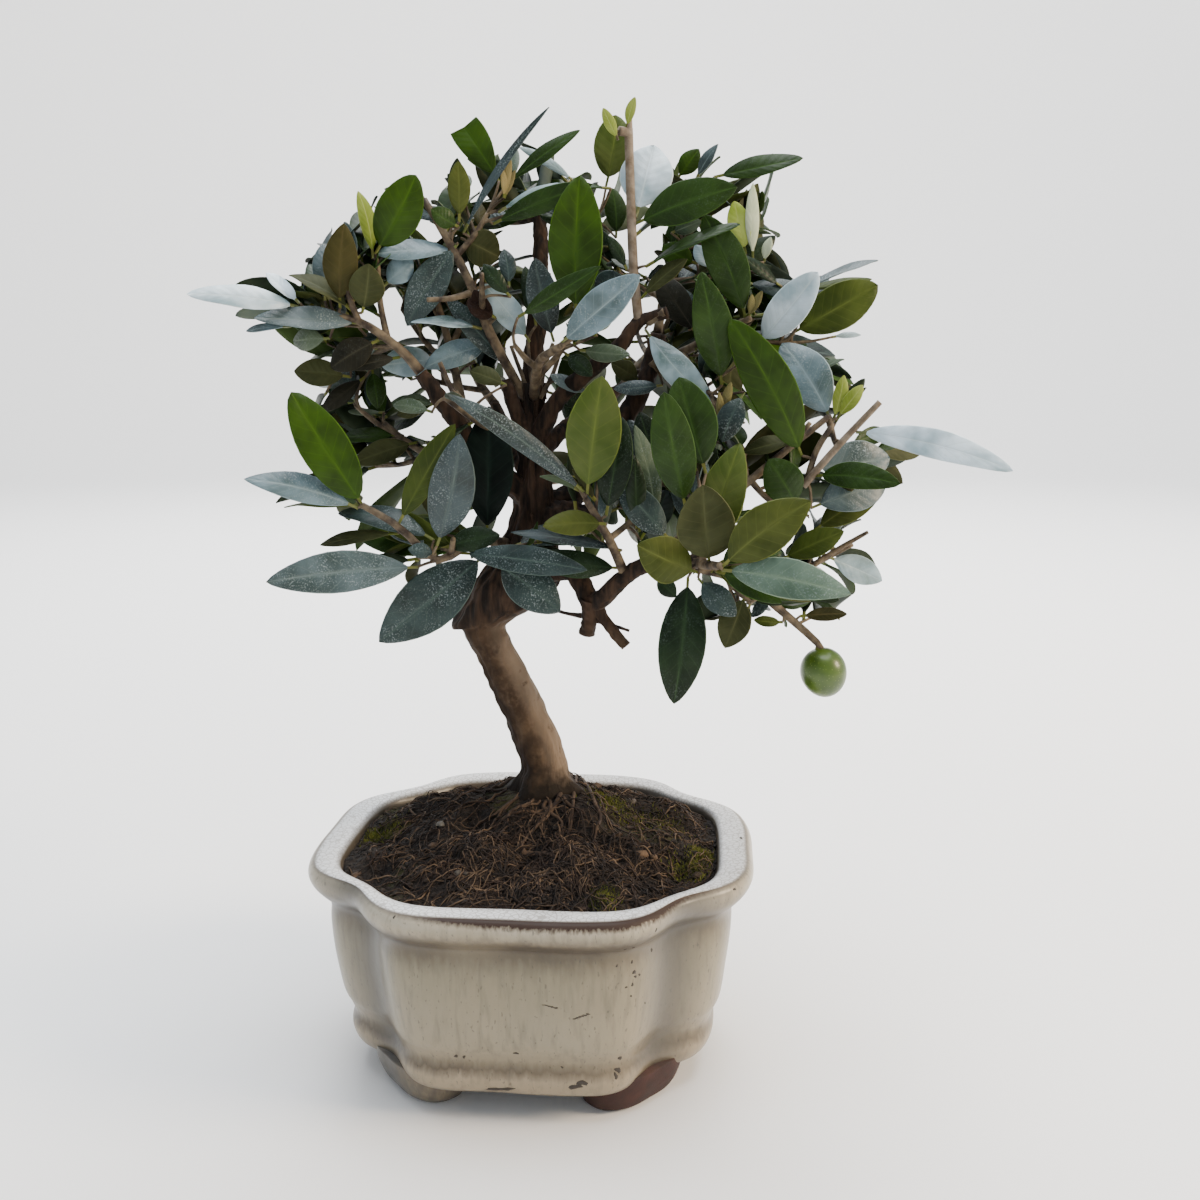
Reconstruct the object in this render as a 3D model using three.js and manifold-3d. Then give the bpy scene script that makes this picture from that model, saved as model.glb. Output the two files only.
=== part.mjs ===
// A bonsai olive tree in a lobed, glazed stoneware pot. Millimetres and degrees, +Z up.
// The pot stands on four bracket feet on z = 0, and the origin is under the middle of the whole tree.
// The tree is laid out round the pot's centre line first, and the finished group is shifted at the end.
import * as THREE from 'three';
import { mergeVertices } from 'three/addons/utils/BufferGeometryUtils.js';
import Module from 'manifold-3d';

const wasm = await Module();
wasm.setup();

// ---------- driving dimensions ----------
const clearance = 0.3;

const pot = {
  halfWidth: 75,
  halfDepth: 68,
  cornerPower: 3.3,
  notchDepth: 0.138,
  notchAngle: 41.6,
  notchSpread: 13.6,
  facets: 48,
  holeRadius: 7,
  floorTop: 16,
  floorUnder: 9,
};
// The wall's section: how far in from the rim's outline, how high and, inside, the share of the notches.
const potOutside = [
  [17, 9], [13.6, 12], [12.6, 17], [13.4, 21], [9.8, 29], [8, 42],
  [7, 59.5], [3.6, 63], [0.4, 67.5], [0.1, 72], [1.6, 75], [3.8, 75.6],
];
const potInside = [[8.4, 75.3, 0.55], [10.4, 73, 0.6], [11.4, 64, 0.85], [15, 39, 0.8], [22, 19, 0.7]];
const foot = { angle: 42, reach: 48.5, length: 36, breadth: 18, top: 13, sides: 10 };
// A foot's rings: share of its length and breadth, share of its height.
const footRings = [[0.8, 0], [0.96, 0.25], [1, 0.6], [0.9, 1]];

const soil = {
  edge: [10.9, 72, 0.65],
  mound: 17.7,
  slope: 1.15,
  seatRadius: 13,
  trunkX: 2,
  trunkY: 10,
  rings: 6,
  fadeAtWall: 5,
  fadeAtTrunk: 4,
};
// The soil's lumps are waves over the ground: length, heading, phase and height of each.
const soilLumps = [
  [43, 20, 0, 1], [35, 78, 80, 0.9], [28, 130, 200, 0.9], [23, 165, 40, 0.8], [19, 48, 300, 0.6],
];

// Trunk rings from the soil up: height, centre x, centre y, half width, half depth.
const trunkRings = [
  [90, 2, 10, 12.5, 11.5], [94, 1.4, 10, 9.4, 9], [101, 1, 10, 8.1, 7.8], [116, -4, 10, 8.2, 7.8],
  [133, -11.4, 8, 7.7, 7.5], [145, -17, 6.4, 7.5, 7.4], [149, -18, 6, 8, 7.6], [152, -12, 6, 17, 10.5],
  [158, -9, 6, 17, 11.5], [167, -4.5, 6, 14.6, 10], [174, -2.6, 6, 11, 8.6], [182, -1.2, 6, 8, 7.6],
  [192, 0, 6, 6.7, 6.6], [206, 0, 6, 5, 5], [221, -1, 7, 4.2, 4.2], [231, -1, 8, 3.6, 3.6],
];
const trunkDetail = {
  sides: 13,
  between: 2,
  furrows: 5,
  furrowDepth: 0.05,
  furrowPitch: 9,
  roots: 4,
  rootSwell: 0.13,
  rootTop: 99,
};

// Each limb: centre points, the radius at its two ends.
const limbs = {
  bough_leader: { line: [[-1, 9, 231.3], [0, 14, 251], [1, 20, 271], [0, 26, 290]], radius: [3.2, 2.3] },
  bough_left: {
    line: [[-2, 5, 193], [-13, 2, 203], [-22, -2, 215], [-29, -5, 226], [-35, -6, 234]],
    radius: [4.2, 2.2],
  },
  bough_right: {
    line: [[1, 8, 188], [16, 13, 197], [29, 20, 218], [37, 24, 234], [40, 26, 247]],
    radius: [5, 2.8],
  },
  bough_elbow: {
    line: [[-1, 6, 212], [8, 2, 225], [17, -2, 233], [29, -4, 243], [35, -4, 250], [44, -6, 253]],
    radius: [2.8, 1.8],
  },
  bough_low_right: {
    line: [[-1, 5, 168], [15, -6, 167], [21, -12, 160], [33, -20, 172], [42, -26, 177], [55, -35, 178]],
    radius: [3.4, 2.1],
  },
  bough_back_left: { line: [[-1, 7, 198], [-9, 24, 208], [-19, 42, 223]], radius: [3.2, 1.9] },
  bough_back_right: { line: [[0, 7, 209], [13, 25, 219], [27, 44, 229]], radius: [3, 1.9] },
  bough_back_low: { line: [[-1, 8, 179], [4, 27, 185], [9, 48, 194]], radius: [3, 1.8] },
};
const limbDetail = { sides: 7, steps: 7, samples: 12 };
const stubDetail = { sides: 6, steps: 2 };

// Cut stubs and dead twigs: the limb they are fused to, both ends and both radii.
const stubs = [
  { on: 'trunk', line: [[2, 6, 185], [13, 3, 187], [20, 2, 185]], radius: [6, 3.8] },
  { on: 'trunk', line: [[-2, 5, 213], [-6, 3, 223], [-9, 2, 232]], radius: [2.6, 2] },
  { on: 'bough_low_right', line: [[21, -12, 162], [20, -11, 156], [19, -10, 150]], radius: [3, 2.3] },
  { on: 'bough_low_right', line: [[21, -12, 162], [26, -13, 154], [32, -14, 147]], radius: [1.9, 1.5] },
  { on: 'bough_low_right', line: [[20, -11, 156], [13, -7, 156], [7, -5, 157]], radius: [0.9, 0.6] },
  { on: 'bough_low_right', line: [[20, -11, 155], [26, -12, 154], [33, -13, 152]], radius: [0.8, 0.5] },
];

// How every twig and leaf grows: radii and gaps, the leaf's angles off its twig, and its proportions.
const growth = {
  stemRadius: [1.8, 1.1],
  shootRadius: [1.3, 0.9],
  lift: 10,
  steepest: 89,
  tipSetback: 0.6,
  pairSpacing: 12,
  leafySpan: 0.82,
  spread: 56,
  tipSpread: 38,
  spreadJitter: 9,
  turnJitter: 12,
  sizeJitter: 0.16,
  tipSize: 0.88,
  widthShare: 0.35,
  widthJitter: 0.04,
  thicknessShare: 0.03,
  rootDepth: 0.2,
  joints: [0.32, 0.36, 0.32],
  outerWidth: 0.92,
  bend: 0.16,
  faceShoot: 0.75,
  faceSky: 0.45,
  turns: [0, 18, -18, 36, -36, 54, -54],
  sizes: [1, 0.82, 0.66],
  spaceMargin: 1,
  limbMargin: 1.2,
  leafGap: 3.4,
  lowest: 122,
  twigSample: 3,
  seedStep: 7919,
};

// Foliage masses. Stem: where it starts and its steps of heading, rise and length. Each shoot: how far
// up the stem it starts, heading, rise, length, leaf pairs, turn of the first pair, leaf length. A bare
// stretch at a stem's tip has no leaves.
const masses = [
  { name: 'far_left', from: [-35, -6, 234.5], steps: [[-163, 48, 10], [-162, 34, 15], [-172, 9, 15]],
    pairs: 3, turn: 0, leaf: 45,
    shoots: [[0.35, 159, 83, 24, 3, 90, 38], [0.62, -125, 70, 15, 2, 80, 36],
      [0.3, 144, -9, 25, 3, 20, 36]] },
  { name: 'upper_left', from: [-21, -1, 214], steps: [[120, 62, 19], [154, 75, 17], [158, 72, 15]],
    pairs: 3, turn: 20, leaf: 36,
    shoots: [[0.45, 155, 44, 30, 3, 60, 38], [0.75, 142, 59, 26, 2, 0, 36], [0.6, 36, 67, 26, 2, 40, 36]] },
  { name: 'mid_left', from: [-16, 1, 207], steps: [[160, -6, 15], [157, 17, 13], [170, 36, 14]],
    pairs: 3, turn: 30, leaf: 38,
    shoots: [[0.5, 148, -11, 28, 3, 70, 38], [0.8, 170, 32, 20, 2, 10, 34]] },
  { name: 'low_left', from: [-9, 3, 178],
    steps: [[-103, 10, 17], [-122, -4, 12], [-143, -17, 10], [-169, 44, 15], [-169, 32, 13]],
    pairs: 5, turn: 90, leaf: 46,
    shoots: [[0.2, -68, -13, 21, 2, 10, 40], [0.5, -73, 30, 12, 2, 0, 40]] },
  { name: 'front_left', from: [-3, 5, 210], steps: [[-122, 22, 23], [-145, 34, 15]],
    pairs: 3, turn: 20, leaf: 38,
    shoots: [[0.5, -96, 20, 20, 2, 60, 38], [0.75, -170, 62, 18, 2, 30, 36]] },
  { name: 'top_left', from: [-2, 7, 224],
    steps: [[-149, 60, 26], [-162, 64, 15], [180, 57, 15], [164, 57, 12]],
    pairs: 3, turn: 20, leaf: 36,
    shoots: [[0.72, 38, 60, 20, 2, 60, 42], [0.55, -139, -10, 17, 2, 30, 38],
      [0.45, -80, 40, 18, 2, 50, 36]] },
  { name: 'front_top', from: [0, 6, 226], steps: [[-78, 30, 22], [-62, 17, 13], [-62, 11, 8]],
    pairs: 3, turn: 50, leaf: 42,
    shoots: [[0.45, -118, 30, 14, 2, 40, 40], [0.3, 2, 52, 22, 2, 80, 44]] },
  { name: 'leader_top', from: [0, 25, 286], steps: [[74, 8, 11], [47, 12, 8]],
    pairs: 2, turn: 90, leaf: 32,
    shoots: [[0.25, 140, 0, 26, 3, 0, 36], [0.4, 57, 2, 27, 3, 0, 36], [0.3, -100, 12, 14, 2, 90, 34]] },
  { name: 'elbow_top', from: [35, -4, 250], steps: [[180, 84, 16], [120, 84, 21], [113, 84, 22]],
    pairs: 3, turn: 0, leaf: 38, bare: 20,
    shoots: [[0.97, 60, 84, 5, 1, 60, 13]] },
  { name: 'right_top', from: [40, 26.5, 247.5], steps: [[61, 71, 15], [36, 66, 14], [19, 60, 12]],
    pairs: 3, turn: 30, leaf: 38,
    shoots: [[0.45, -9, 10, 24, 3, 60, 38], [0.75, 28, 18, 26, 2, 0, 36], [0.3, 142, 27, 23, 2, 40, 36]] },
  { name: 'right_mid', from: [37, 24, 236], steps: [[-40, 18, 19], [-45, 20, 15], [-34, 20, 12]],
    pairs: 3, turn: 40, leaf: 42,
    shoots: [[0.35, -72, -24, 33, 2, 0, 42], [0.7, 7, -6, 26, 2, 70, 42], [0.6, -20, 66, 18, 2, 0, 40]] },
  { name: 'far_right', from: [40, -24, 176], steps: [[6, 40, 24], [18, 38, 35], [14, 37, 31]],
    pairs: 1, turn: 96, leaf: 50, bare: 11,
    shoots: [[0.45, 14, -42, 14, 2, 30, 40], [0.62, -30, 53, 20, 2, 90, 48], [0.8, 69, -38, 20, 2, 80, 42],
      [0.35, 85, 33, 34, 3, 20, 42]] },
  { name: 'whorl', from: [54, -34.5, 178], steps: [[-70, 6, 12], [-78, 8, 14]],
    pairs: 4, turn: 10, leaf: 37,
    shoots: [[0.25, -99, 77, 21, 2, 0, 40]] },
  { name: 'olive_twig', from: [48, -30, 177.5],
    steps: [[25, -17, 24], [12, -38, 13.5], [0, -41, 18], [0, -76, 3]],
    pairs: 3, turn: 20, leaf: 24, bare: 22, olive: true,
    shoots: [[0.45, 25, 16, 39, 3, 60, 34], [0.3, -30, -40, 12, 1, 0, 26]] },
  { name: 'front_mid', from: [32, -19, 171], steps: [[-122, 56, 13], [-131, 55, 9], [-160, 58, 9]],
    pairs: 3, turn: 90, leaf: 46,
    shoots: [[0.5, 30, 39, 18, 2, 10, 42]] },
  { name: 'inner_right', from: [27, 19, 214], steps: [[-54, -20, 18], [-52, -42, 14]],
    pairs: 3, turn: 30, leaf: 40,
    shoots: [[0.4, -49, 5, 28, 2, 60, 40], [0.6, 129, -76, 24, 2, 10, 36]] },
  { name: 'back_left', from: [-19, 42, 223], steps: [[125, 30, 16], [118, 38, 16], [128, 30, 14]],
    pairs: 3, turn: 10, leaf: 40,
    shoots: [[0.2, 172, 14, 30, 3, 40, 38], [0.45, 74, 20, 28, 3, 80, 38], [0.5, 150, 66, 28, 3, 20, 38]] },
  { name: 'back_right', from: [27, 44, 229], steps: [[62, 34, 16], [50, 30, 16], [64, 36, 14]],
    pairs: 3, turn: 40, leaf: 40,
    shoots: [[0.2, 8, 12, 34, 3, 10, 38], [0.45, 104, 22, 26, 3, 60, 38], [0.5, 30, 66, 26, 3, 80, 38]] },
  { name: 'back_low', from: [9, 48, 194], steps: [[84, 8, 16], [92, 16, 16], [82, 10, 12]],
    pairs: 3, turn: 30, leaf: 38,
    shoots: [[0.15, 20, 2, 32, 3, 70, 36], [0.2, 158, -4, 32, 3, 20, 36], [0.55, 60, -28, 22, 2, 40, 34],
      [0.5, 118, 44, 24, 2, 0, 36]] },
];
// The fruit: its half width and half length, and how deep it sits on its stalk.
const olive = { radius: 7.3, length: 8, sunk: 1, sides: 12, rows: 8 };

// ---------- materials ----------
const finish = (color, roughness) => new THREE.MeshStandardMaterial({ color, roughness, metalness: 0 });
const glaze = finish('#d8d2bd', 0.25);
const earth = finish('#3a2d24', 0.95);
const bark = finish('#6f5340', 0.9);
const leafGreen = finish('#4c6038', 0.5);

// ---------- small geometry helpers ----------
const radians = THREE.MathUtils.degToRad;
const vector = (x, y, z) => new THREE.Vector3(x, y, z);
const skyward = vector(0, 0, 1);

// Unit vector of a heading (from +X towards +Y) and a rise above level.
function towards(heading, rise) {
  const [around, up] = [radians(heading), radians(rise)];
  return vector(Math.cos(up) * Math.cos(around), Math.cos(up) * Math.sin(around), Math.sin(up));
}

// Closed mesh through rings of equal count. A ring of one point closes that end to a point, a wider end
// ring is capped flat, and joined makes the last ring run back to the first.
function loft(rings, joined = false) {
  const points = rings.flat();
  const starts = [];
  rings.reduce((sum, ring) => { starts.push(sum); return sum + ring.length; }, 0);
  const faces = [];
  const link = (a, b) => {
    const [lower, upper] = [rings[a], rings[b]];
    const count = Math.max(lower.length, upper.length);
    for (let i = 0; i < count; i += 1) {
      const next = (i + 1) % count;
      const [p, q] = [starts[a] + (lower.length > 1 ? i : 0), starts[a] + (lower.length > 1 ? next : 0)];
      const [r, s] = [starts[b] + (upper.length > 1 ? i : 0), starts[b] + (upper.length > 1 ? next : 0)];
      if (lower.length > 1) faces.push([p, q, s]);
      if (upper.length > 1) faces.push([p, s, r]);
    }
  };
  for (let i = 0; i + 1 < rings.length; i += 1) link(i, i + 1);
  if (joined) link(rings.length - 1, 0);
  const cap = (index, flip) => {
    const ring = rings[index];
    if (ring.length < 2) return;
    const centre = ring.reduce((sum, point) => sum.add(point), vector(0, 0, 0)).divideScalar(ring.length);
    points.push(centre);
    ring.forEach((point, i) => {
      const [p, q] = [starts[index] + i, starts[index] + ((i + 1) % ring.length)];
      faces.push(flip ? [q, p, points.length - 1] : [p, q, points.length - 1]);
    });
  };
  if (!joined) {
    cap(0, true);
    cap(rings.length - 1, false);
  }
  return { points, faces };
}

// Manifold solid of a closed mesh, turned right side out.
function solid({ points, faces }) {
  let volume = 0;
  for (const [a, b, c] of faces) volume += points[a].dot(vector(0, 0, 0).crossVectors(points[b], points[c]));
  const outward = volume > 0 ? faces : faces.map(([a, b, c]) => [a, c, b]);
  const vertProperties = new Float32Array(points.flatMap((point) => [point.x, point.y, point.z]));
  const triVerts = new Uint32Array(outward.flat());
  return new wasm.Manifold(new wasm.Mesh({ numProp: 3, vertProperties, triVerts }));
}

// Solid of a three.js geometry whose shape is closed.
function solidOf(geometry) {
  geometry.deleteAttribute('normal');
  geometry.deleteAttribute('uv');
  const merged = mergeVertices(geometry);
  const { position } = merged.attributes;
  const points = [];
  for (let i = 0; i < position.count; i += 1) points.push(vector(0, 0, 0).fromBufferAttribute(position, i));
  const faces = [];
  for (let i = 0; i < merged.index.count; i += 3) faces.push([0, 1, 2].map((k) => merged.index.getX(i + k)));
  return solid({ points, faces });
}

// The largest connected body: sealed hollows are filled and loose scraps dropped.
function mainBody(manifold) {
  return manifold.decompose().reduce((best, piece) => (piece.volume() > best.volume() ? piece : best));
}

function meshOf(name, manifold, material) {
  const { vertProperties, triVerts } = manifold.getMesh();
  const geometry = new THREE.BufferGeometry();
  geometry.setAttribute('position', new THREE.BufferAttribute(new Float32Array(vertProperties), 3));
  geometry.setIndex(new THREE.BufferAttribute(new Uint32Array(triVerts), 1));
  geometry.computeVertexNormals();
  const mesh = new THREE.Mesh(geometry, material);
  mesh.name = name;
  return mesh;
}

// ---------- pot ----------
// The four corners that mirror one another, at so many degrees off the long axis.
const cornersAt = (angle) => [angle, 180 - angle, 180 + angle, 360 - angle].map((corner) => radians(corner));

// Radius of the rim's outline: a squared ellipse pressed in at its four corners.
function rimRadius(angle, notchShare = 1) {
  const across = Math.abs(Math.cos(angle) / pot.halfWidth) ** pot.cornerPower;
  const deep = Math.abs(Math.sin(angle) / pot.halfDepth) ** pot.cornerPower;
  const pressed = cornersAt(pot.notchAngle).reduce((sum, corner) => {
    const away = Math.atan2(Math.sin(angle - corner), Math.cos(angle - corner));
    return sum + Math.exp(-((away / radians(pot.notchSpread)) ** 2));
  }, 0);
  return (across + deep) ** (-1 / pot.cornerPower) * (1 - pot.notchDepth * notchShare * pressed);
}

// One level ring of the pot, so far in from the rim's outline.
function potRing(inset, height, notchShare) {
  return Array.from({ length: pot.facets }, (unused, i) => {
    const angle = (2 * Math.PI * i) / pot.facets;
    const radius = rimRadius(angle, notchShare) - inset;
    return vector(radius * Math.cos(angle), radius * Math.sin(angle), height);
  });
}

function roundRing(radius, height, count = pot.facets, x = 0, y = 0) {
  return Array.from({ length: count }, (unused, i) => {
    const angle = (2 * Math.PI * i) / count;
    return vector(x + radius * Math.cos(angle), y + radius * Math.sin(angle), height);
  });
}

// A bracket foot under one corner: a long rounded block that tapers down to its flat sole.
function footSolid(angle) {
  const centre = vector(Math.cos(angle), Math.sin(angle), 0).multiplyScalar(foot.reach);
  const outward = vector(Math.cos(angle), Math.sin(angle), 0);
  const sideways = vector(-Math.sin(angle), Math.cos(angle), 0);
  const ring = (scale, height) => Array.from({ length: foot.sides }, (unused, i) => {
    const turn = (2 * Math.PI * i) / foot.sides;
    return centre.clone()
      .addScaledVector(sideways, (scale * foot.length * Math.cos(turn)) / 2)
      .addScaledVector(outward, (scale * foot.breadth * Math.sin(turn)) / 2)
      .setZ(height);
  });
  return solid(loft(footRings.map(([scale, share]) => ring(scale, share * foot.top))));
}

function potSolid() {
  const rings = [
    roundRing(pot.holeRadius, pot.floorUnder),
    ...potOutside.map(([inset, height]) => potRing(inset, height)),
    ...potInside.map((section) => potRing(...section)),
    roundRing(pot.holeRadius, pot.floorTop),
  ];
  const vessel = solid(loft(rings, true));
  return mainBody(cornersAt(foot.angle).reduce((body, corner) => body.add(footSolid(corner)), vessel));
}

// Height that the lumps add at a place: all the waves' sines there, added up.
function lumpsAt(x, y) {
  return soilLumps.reduce((sum, [length, heading, phase, height]) => {
    const way = x * Math.cos(radians(heading)) + y * Math.sin(radians(heading));
    return sum + height * Math.sin((2 * Math.PI * way) / length + radians(phase));
  }, 0);
}

// Soil: fills the pot just clear of its wall and mounds up to a level seat under the trunk.
function soilSolid() {
  const walls = [...potInside.slice(2).reverse(), soil.edge]
    .map(([inset, height, notchShare]) => potRing(inset + clearance, height, notchShare));
  const edge = walls[walls.length - 1];
  const edgeHeight = soil.edge[1];
  const seat = roundRing(soil.seatRadius, edgeHeight + soil.mound, pot.facets, soil.trunkX, soil.trunkY);
  const top = Array.from({ length: soil.rings }, (unused, k) => {
    const share = (k + 1) / (soil.rings + 1);
    const fade = Math.min(1, soil.fadeAtWall * share, soil.fadeAtTrunk * (1 - share));
    return edge.map((point, i) => {
      const place = point.clone().lerp(seat[i], share);
      const mounded = edgeHeight + soil.mound * share ** soil.slope;
      return place.setZ(mounded + fade * lumpsAt(place.x, place.y));
    });
  });
  return solid(loft([...walls, ...top, seat]));
}

// ---------- limbs ----------
// Uniform Catmull-Rom value between rows of numbers, at a place counted in rows.
function between(rows, place) {
  const last = rows.length - 1;
  const i = Math.min(Math.floor(place), last - 1);
  const t = place - i;
  const [a, b, c, d] = [Math.max(i - 1, 0), i, i + 1, Math.min(i + 2, last)].map((k) => rows[k]);
  return b.map((value, k) => value + 0.5 * t * (c[k] - a[k] + t * (2 * a[k] - 5 * value + 4 * c[k] - d[k]
    + t * (3 * (value - c[k]) + d[k] - a[k]))));
}

function trunkSolid(extra = 0) {
  const { sides, furrows, furrowDepth, furrowPitch, roots, rootSwell, rootTop } = trunkDetail;
  const steps = (trunkRings.length - 1) * trunkDetail.between;
  const rings = Array.from({ length: steps + 1 }, (unused, k) => {
    const [z, x, y, halfWidth, halfDepth] = between(trunkRings, k / trunkDetail.between);
    const flare = rootSwell * Math.max(0, (rootTop - z) / (rootTop - trunkRings[0][0]));
    return Array.from({ length: sides }, (none, i) => {
      const angle = (2 * Math.PI * i) / sides;
      const furrow = furrowDepth * Math.sin(furrows * angle + z / furrowPitch);
      const swell = 1 + furrow + flare * Math.cos(roots * angle + 1);
      const across = (halfWidth * swell + extra) * Math.cos(angle);
      return vector(x + across, y + (halfDepth * swell + extra) * Math.sin(angle), z);
    });
  });
  return solid(loft(rings));
}

// Points along a limb's smooth line, evenly in its rows.
function centresOf(line, steps) {
  const stride = (line.length - 1) / steps;
  return Array.from({ length: steps + 1 }, (unused, k) => vector(...between(line, k * stride)));
}

// A tapering tube with flat ends through the given centres. Its sections are carried along without twist.
function tube(centres, radius, sides, extra = 0) {
  const last = centres.length - 1;
  const offLine = vector(0.31, 0.17, 0.2);
  const side = vector(0, 0, 0).crossVectors(centres[last].clone().sub(centres[0]), offLine).normalize();
  return solid(loft(centres.map((centre, k) => {
    const ahead = centres[Math.min(k + 1, last)].clone().sub(centres[Math.max(k - 1, 0)]).normalize();
    const u = side.clone().addScaledVector(ahead, -side.dot(ahead)).normalize();
    const v = vector(0, 0, 0).crossVectors(ahead, u);
    const width = radius[0] + ((radius[1] - radius[0]) * k) / last + extra;
    return Array.from({ length: sides }, (unused, i) => {
      const angle = (2 * Math.PI * i) / sides;
      const [across, over] = [width * Math.cos(angle), width * Math.sin(angle)];
      return centre.clone().addScaledVector(u, across).addScaledVector(v, over);
    });
  })));
}

function limbSolid({ line, radius }, extra = 0, { sides, steps } = limbDetail) {
  return tube(centresOf(line, steps), radius, sides, extra);
}

// ---------- foliage ----------
// Numbers from -1 to 1, the same ones each run.
function drawsFrom(seed) {
  let state = seed;
  return () => {
    state = (state * 16807) % 2147483647;
    return state / 1073741823.5 - 1;
  };
}

// Path from a start through steps of heading, rise and length.
function walk(start, steps) {
  const path = [start];
  for (const [heading, rise, length] of steps) {
    path.push(path[path.length - 1].clone().addScaledVector(towards(heading, rise), length));
  }
  return path;
}

function pathLength(path) {
  return path.slice(1).reduce((sum, point, i) => sum + point.distanceTo(path[i]), 0);
}

// Point and direction at a share of a path's length.
function along(path, share) {
  let left = share * pathLength(path);
  for (let i = 0; i + 1 < path.length; i += 1) {
    const piece = path[i].distanceTo(path[i + 1]);
    if (left <= piece || i + 2 === path.length) {
      const ahead = path[i + 1].clone().sub(path[i]).normalize();
      return { point: path[i].clone().addScaledVector(ahead, left), ahead };
    }
    left -= piece;
  }
  return null;
}

// The twigs of one mass: its stem first, then each shoot, which curves up towards the light.
function twigsOf({ from, steps, pairs, turn, leaf, bare = 0, shoots }) {
  const stem = { path: walk(vector(...from), steps), radius: growth.stemRadius, pairs, turn, leaf, bare };
  return [stem, ...shoots.map(([share, heading, rise, length, shootPairs, shootTurn, shootLeaf]) => {
    const lower = [heading, rise - growth.lift / 2, length / 2];
    const upper = [heading, Math.min(rise + growth.lift / 2, growth.steepest), length / 2];
    const path = walk(along(stem.path, share).point, [lower, upper]);
    const radius = growth.shootRadius;
    return { path, radius, pairs: shootPairs, turn: shootTurn, leaf: shootLeaf, bare: 0 };
  })];
}

// One leaf's place: its root on the twig, three points on along its curve, its width and its upper side.
function leafFrame(root, ahead, turn, spread, length, width) {
  const level = vector(0, 0, 0).crossVectors(ahead, skyward).normalize();
  const upright = vector(0, 0, 0).crossVectors(level, ahead);
  const mixed = (one, other, angle) => one.clone().multiplyScalar(Math.cos(radians(angle)))
    .addScaledVector(other, Math.sin(radians(angle)));
  const blade = mixed(ahead, mixed(level, upright, turn), spread);
  const face = ahead.clone().multiplyScalar(growth.faceShoot).addScaledVector(skyward, growth.faceSky);
  face.addScaledVector(blade, -face.dot(blade)).normalize();
  const bent = (share) => blade.clone().addScaledVector(face, -growth.bend * share).normalize();
  const [inner, middle, outer] = growth.joints.map((share) => share * length);
  const first = root.clone().addScaledVector(blade, inner);
  const second = first.clone().addScaledVector(bent(1), middle);
  const tip = second.clone().addScaledVector(bent(2), outer);
  const across = vector(0, 0, 0).crossVectors(blade, face);
  return { root, blade, face, across, first, second, tip, width, length };
}

// Points of a leaf that are tested against its neighbours' spaces.
function leafProbes({ root, first, second, tip, across, width }) {
  const edge = (point, side) => point.clone().addScaledVector(across, (side * width) / 2);
  return [first, second, tip, edge(first, 1), edge(first, -1), edge(second, 1), edge(second, -1),
    root.clone().lerp(first, 0.7), first.clone().lerp(second, 0.5), second.clone().lerp(tip, 0.5)];
}

function leafSolid({ root, blade, face, across, first, second, tip, width, length }) {
  const thickness = growth.thicknessShare * length;
  const section = (point, share) => [
    point.clone().addScaledVector(across, (share * width) / 2),
    point.clone().addScaledVector(across, (-share * width) / 2),
    point.clone().addScaledVector(face, -thickness),
  ];
  const sunk = root.clone().addScaledVector(blade, -growth.rootDepth);
  return solid(loft([[sunk], section(first, 1), section(second, growth.outerWidth), [tip]]));
}

// Spheres that stand for the limbs when a leaf is tested against them.
const limbCentres = [
  ...trunkRings.map(([z, x, y, ...halves]) => ({ point: vector(x, y, z), radius: Math.max(...halves) })),
  ...[...Object.values(limbs), ...stubs].flatMap(({ line, radius }) => centresOf(line, limbDetail.samples)
    .map((point) => ({ point, radius: radius[0] }))),
];
const grown = masses.map((mass) => ({ mass, twigs: twigsOf(mass) }));
const twigCentres = grown.map(({ twigs }) => twigs.flatMap(({ path }) => {
  const count = Math.ceil(pathLength(path) / growth.twigSample);
  return Array.from({ length: count + 1 }, (unused, k) => along(path, k / count).point);
}));

function nearest(point, centres) {
  let least = Infinity;
  for (const centre of centres) least = Math.min(least, centre.distanceToSquared(point));
  return Math.sqrt(least);
}

// Whether a leaf keeps to its mass's space and stays off the limbs and the leaves already there.
function fits(leaf, index, others) {
  const { lowest, leafGap, limbMargin, spaceMargin } = growth;
  return leafProbes(leaf).every((probe) => {
    if (probe.z < lowest || nearest(probe, others) < leafGap) return false;
    if (limbCentres.some(({ point, radius }) => point.distanceTo(probe) < radius + limbMargin)) return false;
    const least = nearest(probe, twigCentres[index]) + spaceMargin;
    return twigCentres.every((centres, other) => other === index || nearest(probe, centres) > least);
  });
}

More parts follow.
